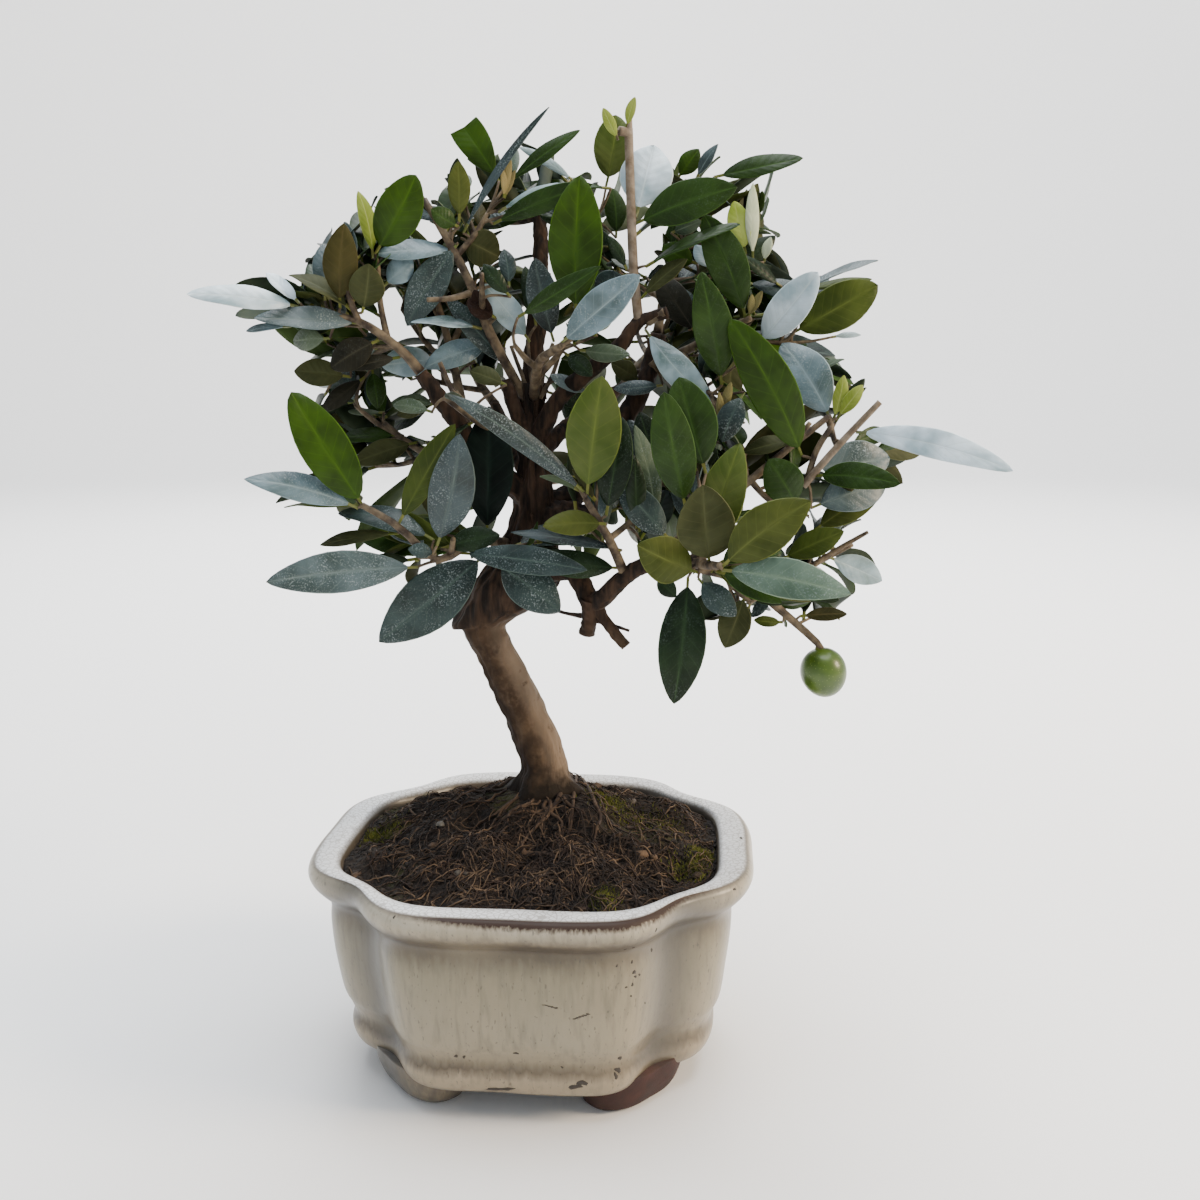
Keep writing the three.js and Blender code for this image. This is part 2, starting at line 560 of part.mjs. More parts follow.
// Leaves in opposite pairs, each pair a quarter turn from the last, counted back from the twig's tip.
function leavesOf(twigs, index) {
  const draw = drawsFrom(growth.seedStep * (index + 1));
  const leaves = [];
  const filled = [];
  for (const { path, pairs, turn, leaf, bare } of twigs) {
    const length = pathLength(path);
    const leafy = growth.leafySpan * (length - bare);
    const spacing = Math.min(growth.pairSpacing, leafy / Math.max(pairs - 0.5, 1));
    for (let pair = 0; pair < pairs; pair += 1) {
      const fromTip = pairs - 1 - pair;
      const { point, ahead } = along(path, 1 - (bare + fromTip * spacing + growth.tipSetback) / length);
      for (const side of [0, 180]) {
        const [a, b, c, d] = [draw(), draw(), draw(), draw()];
        const size = leaf * (1 + growth.sizeJitter * a) * (fromTip === 0 ? growth.tipSize : 1);
        const width = size * (growth.widthShare + growth.widthJitter * b);
        const spread = (fromTip === 0 ? growth.tipSpread : growth.spread) + growth.spreadJitter * c;
        const facing = turn + 90 * pair + side + growth.turnJitter * d;
        const placed = growth.sizes
          .flatMap((share) => growth.turns.map((shift) => [facing + shift, size * share, width * share]))
          .map(([angle, ...sides]) => leafFrame(point, ahead, angle, spread, ...sides))
          .find((candidate) => fits(candidate, index, filled));
        if (placed) {
          leaves.push(placed);
          filled.push(...leafProbes(placed));
        }
      }
    }
  }
  return leaves;
}

function oliveSolid(path) {
  const { point: tip, ahead: hang } = along(path, 1);
  const fruit = new THREE.SphereGeometry(olive.radius, olive.sides, olive.rows);
  fruit.scale(1, olive.length / olive.radius, 1);
  fruit.applyQuaternion(new THREE.Quaternion().setFromUnitVectors(vector(0, 1, 0), hang));
  const centre = tip.addScaledVector(hang, olive.length - olive.sunk);
  return solidOf(fruit.translate(centre.x, centre.y, centre.z));
}

// ---------- assembly ----------
const tree = new THREE.Group();
tree.add(meshOf('pot', potSolid(), glaze));
tree.add(meshOf('soil', soilSolid(), earth));

const withStubs = (name, body, extra = 0) => stubs.filter(({ on }) => on === name)
  .reduce((whole, stub) => whole.add(limbSolid(stub, extra, stubDetail)), body);
tree.add(meshOf('trunk', mainBody(withStubs('trunk', trunkSolid())), bark));

// What the boughs and masses are cut clear of: the trunk and, for the masses, the boughs too.
const trunkRoom = withStubs('trunk', trunkSolid(clearance), clearance);
let room = trunkRoom;
for (const [name, limb] of Object.entries(limbs)) {
  tree.add(meshOf(name, mainBody(withStubs(name, limbSolid(limb)).subtract(trunkRoom)), bark));
  room = room.add(withStubs(name, limbSolid(limb, clearance), clearance));
}

grown.forEach(({ mass, twigs }, index) => {
  const stems = twigs.map(({ path, radius }) => tube(path, radius, 3));
  const pieces = [...stems, ...leavesOf(twigs, index).map(leafSolid)];
  if (mass.olive) pieces.push(oliveSolid(twigs[0].path));
  const joined = pieces.reduce((whole, piece) => whole.add(piece));
  tree.add(meshOf(`foliage_${mass.name}`, mainBody(joined.subtract(room)), leafGreen));
});

const box = new THREE.Box3().setFromObject(tree);
const middle = box.getCenter(vector(0, 0, 0));
tree.position.set(-middle.x, -middle.y, 0);

export default tree;
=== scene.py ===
import bpy
import numpy as np
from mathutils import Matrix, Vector
from mathutils.kdtree import KDTree


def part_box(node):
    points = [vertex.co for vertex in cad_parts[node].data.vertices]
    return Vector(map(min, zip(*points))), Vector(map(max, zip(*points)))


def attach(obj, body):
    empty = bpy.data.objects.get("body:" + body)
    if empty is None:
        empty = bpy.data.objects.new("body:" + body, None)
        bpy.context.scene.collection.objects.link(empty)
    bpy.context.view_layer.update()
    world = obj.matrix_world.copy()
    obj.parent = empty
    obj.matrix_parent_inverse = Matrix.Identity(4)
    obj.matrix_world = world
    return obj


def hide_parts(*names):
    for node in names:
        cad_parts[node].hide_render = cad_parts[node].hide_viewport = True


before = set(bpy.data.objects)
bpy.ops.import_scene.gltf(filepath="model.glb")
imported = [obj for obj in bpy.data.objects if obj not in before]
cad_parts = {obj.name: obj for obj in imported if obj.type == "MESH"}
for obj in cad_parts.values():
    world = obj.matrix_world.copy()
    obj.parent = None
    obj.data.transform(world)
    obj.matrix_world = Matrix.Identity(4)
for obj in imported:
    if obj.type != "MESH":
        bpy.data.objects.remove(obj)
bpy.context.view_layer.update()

# Everything below is laid out in millimetres round the pot's centre line, as the solids are.
potLow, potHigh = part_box("pot")
potMiddle = np.array([(potLow.x + potHigh.x) / 2, (potLow.y + potHigh.y) / 2, 0.0])
foliageNodes = sorted(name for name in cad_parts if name.startswith("foliage_"))
boughNodes = sorted(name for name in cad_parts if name.startswith("bough_"))
print("stage: frame loaded,", len(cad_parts), "nodes")


# ---- meshes from arrays ----
def placed(points):  # millimetres round the pot to metres in the frame
    return np.asarray(points, float) * 0.001 + potMiddle


def unit(vectors):  # each vector divided by its own length
    return vectors / np.maximum(np.linalg.norm(vectors, axis=-1, keepdims=True), 1e-9)


def smoothRows(rows, places):  # each value is a Catmull-Rom cubic through the four rows round its place
    rows = np.asarray(rows, float)
    last = len(rows) - 1
    i = np.clip(np.floor(places).astype(int), 0, last - 1)
    t = (places - i)[:, None]
    a, b, c, d = (rows[np.clip(i + k, 0, last)] for k in (-1, 0, 1, 2))
    return b + 0.5 * t * (c - a + t * (2 * a - 5 * b + 4 * c - d + t * (3 * (b - c) + d - a)))


def ripple(points, size, seed, waves=14):  # sum of sines along random directions, about one bump per size
    draw = np.random.default_rng(seed)
    ways = unit(draw.normal(size=(waves, 3))) * (2 * np.pi / size) * draw.uniform(0.6, 1.5, (waves, 1))
    return np.sin(np.asarray(points) @ ways.T + draw.uniform(0, 6.28, waves)).sum(-1) / np.sqrt(waves)


def evenly(rows, steps):  # the smooth line through the rows, in equal steps
    return smoothRows(rows, np.linspace(0, len(rows) - 1, steps + 1))


def circle(count):  # equal angles all the way round
    return np.arange(count) * 2 * np.pi / count


def gridFaces(rows, columns, wrapRows=False):  # four corners of each cell, columns run round and close
    r = np.arange(rows if wrapRows else rows - 1)[:, None]
    c = np.arange(columns)[None, :]
    upper = ((r + 1) % rows) * columns
    nextColumn = (c + 1) % columns
    cell = [r * columns + c, r * columns + nextColumn, upper + nextColumn, upper + c]
    return np.stack(cell, -1).reshape(-1, 4)


def fanFaces(ring, pole, flip=False):  # triangles from a ring of points to one pole
    after = np.roll(ring, -1)
    corners = (after, ring) if flip else (ring, after)
    return np.stack([*corners, np.full(len(ring), pole)], -1)


def addPiece(name, points, faces, materials, replaces=(), slots=None, values=None, smooth=True):
    # faces: a list of arrays of quads or triangles; slots: the material number of each face, in that order
    mesh = bpy.data.meshes.new(name)
    mesh.from_pydata(placed(points), [], [face for part in faces for face in part.tolist()])
    for material in materials:
        mesh.materials.append(material)
    if slots is not None:
        mesh.polygons.foreach_set("material_index", np.asarray(slots, np.int32))
    mesh.polygons.foreach_set("use_smooth", np.full(len(mesh.polygons), smooth))
    for key, numbers in (values or {}).items():
        attribute = mesh.attributes.new(key, "FLOAT", "POINT")
        attribute.data.foreach_set("value", np.asarray(numbers, np.float32).ravel())
    mesh.update()
    piece = bpy.data.objects.new(name, mesh)
    bpy.context.scene.collection.objects.link(piece)
    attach(piece, "root")
    if replaces:
        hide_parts(*replaces)
    print("stage:", name, len(mesh.polygons), "faces")


def tubes(paths, radii, sides):
    # ring point = centre + radius * (cos a * u + sin a * v), with u and v square to the path
    ahead = unit(np.gradient(paths, axis=1))
    side = unit(np.cross(paths[:, -1] - paths[:, 0], [0.31, 0.17, 0.2]))[:, None]
    u = unit(side - (side * ahead).sum(-1, keepdims=True) * ahead)
    v = np.cross(ahead, u)
    angle = circle(sides)
    around = u[:, :, None] * np.cos(angle)[:, None] + v[:, :, None] * np.sin(angle)[:, None]
    return paths[:, :, None] + np.asarray(radii)[:, :, None, None] * around


def tubeFaces(count, rows, sides):  # faces of many equal tubes whose points are rings, then two poles
    each = rows * sides + 2
    first = gridFaces(rows, sides)
    ring = np.arange(sides)
    ends = np.concatenate([fanFaces(ring, rows * sides, True),
                           fanFaces(ring + (rows - 1) * sides, rows * sides + 1)])
    shift = (np.arange(count) * each)[:, None, None]
    return [(first + shift).reshape(-1, 4), (ends + shift).reshape(-1, 3)]


def tubePoints(paths, radii, sides):  # rings of each tube, then the middles of its two ends
    paths = np.asarray(paths, float)
    rings = tubes(paths, radii, sides).reshape(len(paths), -1, 3)
    return np.concatenate([rings, paths[:, :1], paths[:, -1:]], 1).reshape(-1, 3)


# ---- materials ----
def hexColour(code):  # sRGB hex to linear colour
    value = np.array([int(code[i:i + 2], 16) for i in (1, 3, 5)]) / 255
    return (*np.where(value <= 0.04045, value / 12.92, ((value + 0.055) / 1.055) ** 2.4), 1.0)


def addNode(tree, kind, settings=None, links=None):  # one node, its properties or socket values, its links
    node = tree.nodes.new(kind)
    for key, value in (settings or {}).items():
        if key == "ramp":
            while len(node.color_ramp.elements) < len(value):
                node.color_ramp.elements.new(0.5)
            for element, (position, code) in zip(node.color_ramp.elements, value):
                element.position = position
                element.color = hexColour(code)
        elif isinstance(key, str) and key in node.bl_rna.properties:
            setattr(node, key, value)
        else:
            node.inputs[key].default_value = hexColour(value) if isinstance(value, str) else value
    for key, source in (links or {}).items():
        tree.links.new(source, node.inputs[key])
    return node


def newMaterial(name, roughness, ior=1.5, base="#808080", **sockets):
    material = bpy.data.materials.new(name)
    material.use_nodes = True
    tree = material.node_tree
    shader = tree.nodes["Principled BSDF"]
    shader.inputs["Base Color"].default_value = hexColour(base)
    shader.inputs["Roughness"].default_value = roughness
    shader.inputs["IOR"].default_value = ior
    for key, value in sockets.items():
        shader.inputs[key.replace("_", " ")].default_value = value
    place = addNode(tree, "ShaderNodeTexCoord").outputs["Object"]
    return material, tree, shader, place


def attributeOf(tree, name):  # a value that the mesh holds at each of its points
    return addNode(tree, "ShaderNodeAttribute", {"attribute_name": name}).outputs["Fac"]


def mathOf(tree, operation, *terms):  # one Math node, each of whose terms is a socket or a number
    settings = {"operation": operation}
    links = {}
    for key, term in enumerate(terms):
        (settings if isinstance(term, (int, float)) else links)[key] = term
    return addNode(tree, "ShaderNodeMath", settings, links).outputs[0]


def patternIn(tree, place, size, detail=3.0, stretch=(1, 1, 1), distortion=0.0):
    # noise whose bumps are about size millimetres across, drawn out along an axis where stretch is small
    spread = addNode(tree, "ShaderNodeMapping", {"Scale": stretch}, {"Vector": place}).outputs[0]
    settings = {"Scale": 1000 / size, "Detail": detail, "Distortion": distortion}
    return addNode(tree, "ShaderNodeTexNoise", settings, {"Vector": spread}).outputs["Fac"]


def spanOf(tree, source, low, high, start=0.0, end=1.0):  # low to high of the source becomes start to end
    settings = {"From Min": low, "From Max": high, "To Min": start, "To Max": end}
    return addNode(tree, "ShaderNodeMapRange", settings, {"Value": source}).outputs["Result"]


def mixOf(tree, share, first, second):  # first colour to second by share; each is a hex code or a socket
    settings = {"data_type": "RGBA"}
    links = {0: share}
    for key, colour in ((6, first), (7, second)):
        (settings if isinstance(colour, str) else links)[key] = colour
    return addNode(tree, "ShaderNodeMix", settings, links).outputs[2]


def relief(tree, shader, height, depth):  # bump whose full height is depth millimetres
    settings = {"Strength": 1.0, "Distance": depth * 0.001}
    bump = addNode(tree, "ShaderNodeBump", settings, {"Height": height})
    tree.links.new(bump.outputs[0], shader.inputs["Normal"])


def twoShades(name, roughness, cloud, span, shades, grain, **sockets):
    # two close shades in cloudy patches of a size and detail, under a relief of a size, detail and depth
    material, tree, shader, place = newMaterial(name, roughness, **sockets)
    colour = mixOf(tree, spanOf(tree, patternIn(tree, place, *cloud), *span), *shades)
    tree.links.new(colour, shader.inputs["Base Color"])
    relief(tree, shader, patternIn(tree, place, *grain[:2]), grain[2])
    return material


# ---- camera ----
view = {
    "place": (53.3, -393.2, 235.6),
    "forward": (-0.0769, 0.9789, -0.1894),
    "lens": 36.0,
    "sensor": 36.0,
    "image": 1200,
}
eye = np.array(view["place"])
ahead = unit(np.array(view["forward"]))
rightward = unit(np.cross(ahead, [0, 0, 1]))
upward = np.cross(rightward, ahead)
focal = view["image"] * view["lens"] / view["sensor"]


def inView(points):  # image column and row of points, and how many pixels one millimetre takes there
    offset = np.asarray(points, float) - eye
    depth = offset @ ahead
    half = view["image"] / 2
    scale = focal / depth
    return half + scale * (offset @ rightward), half - scale * (offset @ upward), scale


def fromView(u, v, y):  # point on the plane at depth y that shows at image column u and row v
    half = view["image"] / 2
    ray = ahead * focal + rightward * (u - half) + upward * (half - v)
    return eye + ray * (y - eye[1]) / ray[1]


cameraData = bpy.data.cameras.new("camera")
cameraData.lens = view["lens"]
cameraData.sensor_width = view["sensor"]
cameraData.clip_end = 50
camera = bpy.data.objects.new("camera", cameraData)
bpy.context.scene.collection.objects.link(camera)
camera.location = placed(eye)
camera.rotation_euler = Vector(ahead).to_track_quat("-Z", "Y").to_euler()
bpy.context.scene.camera = camera


# ---- pot ----
pot = {
    "halfWidth": 75, "halfDepth": 68, "cornerPower": 3.3,
    "notchDepth": 0.138, "notchAngle": 41.6, "notchSpread": 13.6,
    # in from the rim's outline, height, share of the notches: from the drain hole out, up, over and in
    "outside": [(30, 9, 0.8), (19, 9, 1), (17, 9.2, 1), (14.6, 11, 1), (13, 14, 1), (12.6, 17, 1),
                (13.4, 21, 1), (12, 25, 1), (9.8, 30, 1), (8, 42, 1), (7, 54, 1), (7.2, 60, 1),
                (6.2, 63.2, 1), (3.6, 65.8, 1), (1.2, 68.6, 1), (0, 71.4, 1), (0.3, 73.6, 1), (1.7, 75.1, 1)],
    "inside": [(4.2, 75.6, 0.8), (8.6, 75.4, 0.6), (11.2, 74.4, 0.57), (12.2, 71.5, 0.62), (12.6, 64, 0.8),
               (15.6, 39, 0.8), (22, 19, 0.7), (34, 16.5, 0.5)],
    "holeRadius": 7, "floorUnder": 9, "floorTop": 16,
    "around": 480, "between": 5,
    "wave": 0.25, "waveSize": 34,
    # the glaze: how wide the painted shade in a notch is, in radians; where the rim is worn, how wide, and
    # how much elsewhere
    "notchShade": 0.19, "wornAt": 286, "wornSpread": 0.62, "wornLeast": 0.22,
}


def corners(angle):  # the four corners that mirror one another
    return np.radians([angle, 180 - angle, 180 + angle, 360 - angle])


def rimRadius(angle, notchShare=1.0):  # squared ellipse, pressed in at four corners by a bell curve
    across = np.abs(np.cos(angle) / pot["halfWidth"]) ** pot["cornerPower"]
    deep = np.abs(np.sin(angle) / pot["halfDepth"]) ** pot["cornerPower"]
    away = turned(np.asarray(angle)[..., None], corners(pot["notchAngle"]))
    pressed = np.exp(-((away / np.radians(pot["notchSpread"])) ** 2)).sum(-1)
    return (across + deep) ** (-1 / pot["cornerPower"]) * (1 - pot["notchDepth"] * notchShare * pressed)


def potWall(angle, inset, height, notchShare):  # point of a level ring that lies inset from the rim's outline
    radius = rimRadius(angle, notchShare) - inset
    return np.stack([radius * np.cos(angle), radius * np.sin(angle), height + 0 * radius], -1)


def potSurface():  # the section carried round the rim's outline, and each point's place on the section
    section = np.array(pot["outside"] + pot["inside"], float)
    steps = (len(section) - 1) * pot["between"]
    rows = evenly(section, steps)
    angle = circle(pot["around"])
    grid = potWall(angle[None], rows[:, 0:1], rows[:, 1:2], rows[:, 2:3])
    outward = np.stack([np.cos(angle), np.sin(angle), 0 * angle], -1)
    grid = grid + outward * (pot["wave"] * ripple(grid, pot["waveSize"], 3))[..., None]
    hole = pot["holeRadius"] * outward
    ends = [(hole + [0, 0, level])[None] for level in (pot["floorUnder"], pot["floorTop"])]
    grid = np.concatenate([ends[0], grid, ends[1]])
    place = np.concatenate([[0], np.linspace(0, len(section) - 1, steps + 1), [len(section)]])
    return grid, np.repeat(place, len(angle))


def glazeMaterial():
    # Stoneware under a thick cream glaze, dipped: it is finely crazed on the level rim, painted pale there as
    # painted top light, and runs down in pits and streaks. Painted shade darkens it in the groove low on the
    # wall, in the hollow under the rim, where it also thins to grey-brown, on the inner wall below the rim
    # and in the notches. It breaks to the brown body along the rim's outer edge. It is glossy, with a soft
    # bloom.
    material, tree, shader, place = newMaterial("creamGlazedStoneware", 0.34, 1.5, Coat_Weight=0.06,
                                                Coat_Roughness=0.1, Specular_IOR_Level=0.32)
    section, notch, worn = (attributeOf(tree, name) for name in ("section", "notch", "worn"))
    drip = patternIn(tree, place, 2.2, 3.0, (1, 1, 0.3))
    level = mathOf(tree, "ADD", section, mathOf(tree, "MULTIPLY_ADD", drip, 1.3, -0.65))
    # the ramp along the section: its dark stops in the groove low on the wall and in the hollow under the rim
    # are painted shade, in the hollow together with the thinner glaze
    body = addNode(tree, "ShaderNodeValToRGB", {"ramp": [
        (0.10, "#494641"), (0.18, "#91836d"), (0.26, "#978972"), (0.31, "#5a4f3f"), (0.37, "#877c68"),
        (0.46, "#8f8671"), (0.55, "#7f7761"), (0.615, "#554c3c"), (0.69, "#3c342b"), (0.74, "#453d33"),
        (0.78, "#6d6352"), (0.83, "#968d79"), (0.87, "#a39b89")]},
        {"Fac": spanOf(tree, level, 0.0, 18.0)}).outputs["Color"]
    cloud = patternIn(tree, place, 30, 2.0)
    body = mixOf(tree, spanOf(tree, cloud, 0.38, 0.66, 0.0, 0.4), body, "#877c66")
    streak = patternIn(tree, place, 1.9, 3.0, (1, 1, 0.1))
    body = mixOf(tree, spanOf(tree, streak, 0.50, 0.72, 0.0, 0.35), body, "#544e44")
    pit = patternIn(tree, place, 0.8, 1.0, (1, 1, 0.4))
    body = mixOf(tree, spanOf(tree, pit, 0.66, 0.74, 0.0, 0.45), body, "#3f3c37")
    # painted shade greys and darkens the notches
    body = mixOf(tree, spanOf(tree, notch, 0.2, 1.0, 0.0, 0.75), body, "#45433f")
    craze = addNode(tree, "ShaderNodeTexVoronoi", {"feature": "DISTANCE_TO_EDGE", "Scale": 560.0},
                    {"Vector": place}).outputs["Distance"]
    # the rim top is painted pale as painted top light; the crazing on it is the glaze's own
    rimTop = mixOf(tree, spanOf(tree, craze, 0.02, 0.12, 0.7, 0.0), "#dadcdd", "#8d8984")
    body = mixOf(tree, spanOf(tree, section, 17.1, 17.7), body, rimTop)
    # painted shade on the inner wall below the rim
    body = mixOf(tree, spanOf(tree, section, 19.3, 20.3), body, "#5b544a")
    ragged = mathOf(tree, "MULTIPLY_ADD", patternIn(tree, place, 0.9, 2.0, (1, 1, 0.4)), -1.3, -0.85)
    lower = mathOf(tree, "MULTIPLY_ADD", ragged, worn, 17.3)
    under = spanOf(tree, mathOf(tree, "SUBTRACT", section, lower), -0.4, 0.4)
    share = mathOf(tree, "MULTIPLY", under, spanOf(tree, section, 17.2, 17.6, 1.0, 0.0))
    share = mathOf(tree, "MULTIPLY", share, spanOf(tree, worn, 0.2, 0.6, 0.6, 0.98))
    body = mixOf(tree, share, body, "#29160c")
    tree.links.new(body, shader.inputs["Base Color"])
    tree.links.new(spanOf(tree, share, 0.0, 1.0, 0.34, 0.6), shader.inputs["Roughness"])
    relief(tree, shader, patternIn(tree, place, 3.2, 2.0), 0.1)
    return material


def turned(angle, other):  # how far one direction is from another, the shorter way round
    return np.angle(np.exp(1j * (angle - other)))


def glazeValues(points, section):  # the place on the section, how deep in a notch, how worn the rim's edge
    angle = np.arctan2(points[:, 1], points[:, 0])[:, None]
    notch = np.exp(-((turned(angle, corners(pot["notchAngle"])) / pot["notchShade"]) ** 2)).sum(1)
    away = turned(angle[:, 0], np.radians(pot["wornAt"])) / pot["wornSpread"]
    worn = pot["wornLeast"] + (1 - pot["wornLeast"]) * np.exp(-(away ** 4))
    return {"section": section, "notch": notch, "worn": worn}


glaze = glazeMaterial()
potGrid, potSection = potSurface()
wallPoints = potGrid.reshape(-1, 3)
addPiece("pot", wallPoints, [gridFaces(len(potGrid), pot["around"], wrapRows=True)[:, ::-1]],
         [glaze], ["pot"], values=glazeValues(wallPoints, potSection))

foot = {
    "angle": 42, "reach": 50, "length": 38, "breadth": 19, "top": 13.5, "sides": 72, "rows": 26,
    # share of the length and breadth, share of the height, how far out it leans, from the sole up
    "rings": [(0.74, 0, -2.4), (0.85, 0.03, -2.2), (0.93, 0.14, -1.4), (0.98, 0.34, -0.5), (1, 0.62, 0.6),
              (0.98, 1, 1.4)],
    "square": 2.8, "crease": 0.06, "creaseSpread": 0.3, "bow": 0.008, "glazeLike": 2.3,
}


def footSurface(corner):
    # squared ovals stacked up from the sole, creased a little on the outer side as the corner is pressed in
    share, level, lean = evenly(foot["rings"], foot["rows"] - 1).T[:, :, None]
    turn = circle(foot["sides"])
    squared = np.abs(np.cos(turn)) ** foot["square"] + np.abs(np.sin(turn)) ** foot["square"]
    squared = squared ** (-1 / foot["square"])
    crease = foot["crease"] * np.exp(-((turn - np.pi / 2) / foot["creaseSpread"]) ** 2)
    sideways = share * foot["length"] / 2 * squared * np.cos(turn)
    outward = foot["reach"] + lean
    outward = outward + share * foot["breadth"] / 2 * (squared - crease) * np.sin(turn)
    outward = outward - sideways ** 2 * foot["bow"]
    x = outward * np.cos(corner) - sideways * np.sin(corner)
    y = outward * np.sin(corner) + sideways * np.cos(corner)
    grid = np.stack([x, y, level * foot["top"] + 0 * x], -1)
    ends = np.array([[foot["reach"] * np.cos(corner), foot["reach"] * np.sin(corner), z]
                     for z in (0, foot["top"])])
    return np.concatenate([grid.reshape(-1, 3), ends])


# Bare fired earthenware where the glaze was wiped off: iron red, matt and faintly sandy
clay = twoShades("bareRedClay", 0.75, (7, 4.0), (0.35, 0.68), ("#240f0a", "#381911"), (0.6, 3.0, 0.08))
footNames = ("footBackRight", "footBackLeft", "footFrontLeft", "footFrontRight")
for name, corner in zip(footNames, corners(foot["angle"])):
    points = footSurface(corner)
    finish = clay if name == "footFrontRight" else glaze
    addPiece(name, points, tubeFaces(1, foot["rows"], foot["sides"]), [finish],
             values=glazeValues(points, np.full(len(points), foot["glazeLike"])))

# Marks on the glaze: each is a small flat pebble shape pressed onto the wall where it shows
marks = {
    # image column and row of a mark, its width and height in millimetres
    "specks": [(625, 949, 1, 1), (628, 956, 1.2, 1), (634, 948, 1, 1.2), (641, 951, 1.4, 1),
               (652, 950, 1.5, 1.2), (632, 962, 1, 1), (638, 957, 1, 1.2), (642, 961, 1.6, 1.6),
               (634, 972, 1.1, 1.6), (636, 977, 1, 1), (640, 975, 1, 0.8), (633, 985, 1.1, 1),
               (617, 966, 0.8, 0.8), (655, 968, 1, 1.2), (626, 987, 0.8, 0.8), (631, 996, 0.7, 0.8),
               (645, 1003, 0.6, 0.8), (656, 930, 0.8, 1.2), (394, 917, 0.8, 1), (356, 881, 0.9, 0.9),
               (741, 838, 1.6, 1.4), (735, 889, 1.2, 1), (562, 1067, 1, 1)],
    "smudges": [(452, 1052, 2, 1.4), (456, 1056, 1.6, 1.2), (464, 1057, 1, 1.6), (514, 1049, 2.6, 1),
                (516, 1053, 1.6, 1.4), (618, 1070, 2, 2), (616, 1076, 1.4, 2), (494, 1089, 7, 1.4),
                (506, 1089, 6, 1.6), (575, 1087, 4, 2), (582, 1083, 3, 2.2), (620, 1058, 1.4, 2)],
    # scratches: where each starts and ends, and in how many dots
    "scratches": [((527, 1000), (556, 1008), 9), ((575, 1019), (588, 1014), 5)], "scratchDot": (1.6, 0.5),
    "sides": 9, "sunk": 0.3, "height": 0.12,
    # rings of a mark: how far out of the wall, and its share of the width
    "rings": [(-0.3, 1), (0.02, 1), (0.1, 0.6)],
}
wallNormals = unit(np.cross(np.roll(potGrid, -1, 1) - np.roll(potGrid, 1, 1), np.gradient(potGrid, axis=0)))
wallNormals = wallNormals.reshape(-1, 3)
facingView = np.nonzero(((eye - wallPoints) * wallNormals).sum(1) > 0)[0]
wallU, wallV = inView(wallPoints[facingView])[:2]


def onWall(u, v):  # the place on the pot's front wall that shows at an image column and row, and its normal
    nearest = facingView[np.argmin(np.hypot(wallU - u, wallV - v))]
    wall, normal = wallPoints[nearest], wallNormals[nearest]
    shown = fromView(u, v, wall[1])
    return shown - (shown - wall) @ normal * normal, normal


def dotPoints(u, v, width, height, seed):  # a low dome with an uneven rim, its foot just under the glaze
    centre, normal = onWall(u, v)
    level = unit(np.cross([0, 0, 1], normal))
    steep = np.cross(normal, level)
    turn = circle(marks["sides"])
    uneven = 1 + 0.3 * np.sin(turn * 2 + seed) + 0.2 * np.sin(turn * 3 + 2 * seed)
    oval = level * np.cos(turn)[:, None] * width / 2 + steep * np.sin(turn)[:, None] * height / 2
    rings = [centre + normal * out + oval * (uneven * size)[:, None] for out, size in marks["rings"]]
    return np.concatenate([*rings, [centre - normal * marks["sunk"], centre + normal * marks["height"]]])


def grimeMaterial():
    # soil splashed on and burnt specks in the glaze: dark umber, dull
    material, tree, shader, place = newMaterial("darkGlazeSpecks", 0.6, base="#332a22")
    cloud = patternIn(tree, place, 3, 2.0)
    tree.links.new(mixOf(tree, cloud, "#1d1611", "#3f372d"), shader.inputs["Base Color"])
    return material


dots = [*marks["specks"], *marks["smudges"]]
for first, last, count in marks["scratches"]:
    dots += [(*((1 - t) * np.array(first) + t * np.array(last)), *marks["scratchDot"])
             for t in np.linspace(0, 1, count)]
dotPieces = [dotPoints(*dot, seed) for seed, dot in enumerate(dots)]
addPiece("glazeMarks", np.concatenate(dotPieces), tubeFaces(len(dots), len(marks["rings"]), marks["sides"]),
         [grimeMaterial()])

# ---- soil ----
soil = {
    "edge": (12, 71.8, 0.64), "mound": 17.7, "slope": 1.15, "trunk": (2, 10), "seat": 13,
    "around": 300, "rings": 90, "skirt": 62, "fadeAtWall": 5, "fadeAtTrunk": 4,
    # the main lumps are waves over the ground: length, heading, phase and height of each
    "waves": [(43, 20, 0, 1), (35, 78, 80, 0.9), (28, 130, 200, 0.9), (23, 165, 40, 0.8), (19, 48, 300, 0.6)],
    # finer lumps: size and depth
    "lumps": [(7, 0.4), (3, 0.3)],
}


def soilHeight(share):  # from the wall to the trunk: the mound rises by a power of the share
    return soil["edge"][1] + soil["mound"] * share ** soil["slope"]


def soilPoint(angle, share):  # point at a share of the way from the pot's wall to the trunk's foot
    wall = potWall(angle, soil["edge"][0], soilHeight(share), soil["edge"][2])
    seat = np.stack([soil["trunk"][0] + soil["seat"] * np.cos(angle),
                     soil["trunk"][1] + soil["seat"] * np.sin(angle), soilHeight(share)], -1)
    point = wall + (seat - wall) * np.asarray(share)[..., None]
    rough = sum(depth * ripple(point, size, 20 + k) for k, (size, depth) in enumerate(soil["lumps"]))
    fade = np.clip(np.minimum(soil["fadeAtWall"] * share, soil["fadeAtTrunk"] * (1 - share)), 0, 1)
    for length, heading, phase, height in soil["waves"]:
        way = point[..., 0] * np.cos(np.radians(heading)) + point[..., 1] * np.sin(np.radians(heading))
        rough = rough + fade * height * np.sin(2 * np.pi * way / length + np.radians(phase))
    return point + np.stack([0 * rough, 0 * rough, rough], -1)


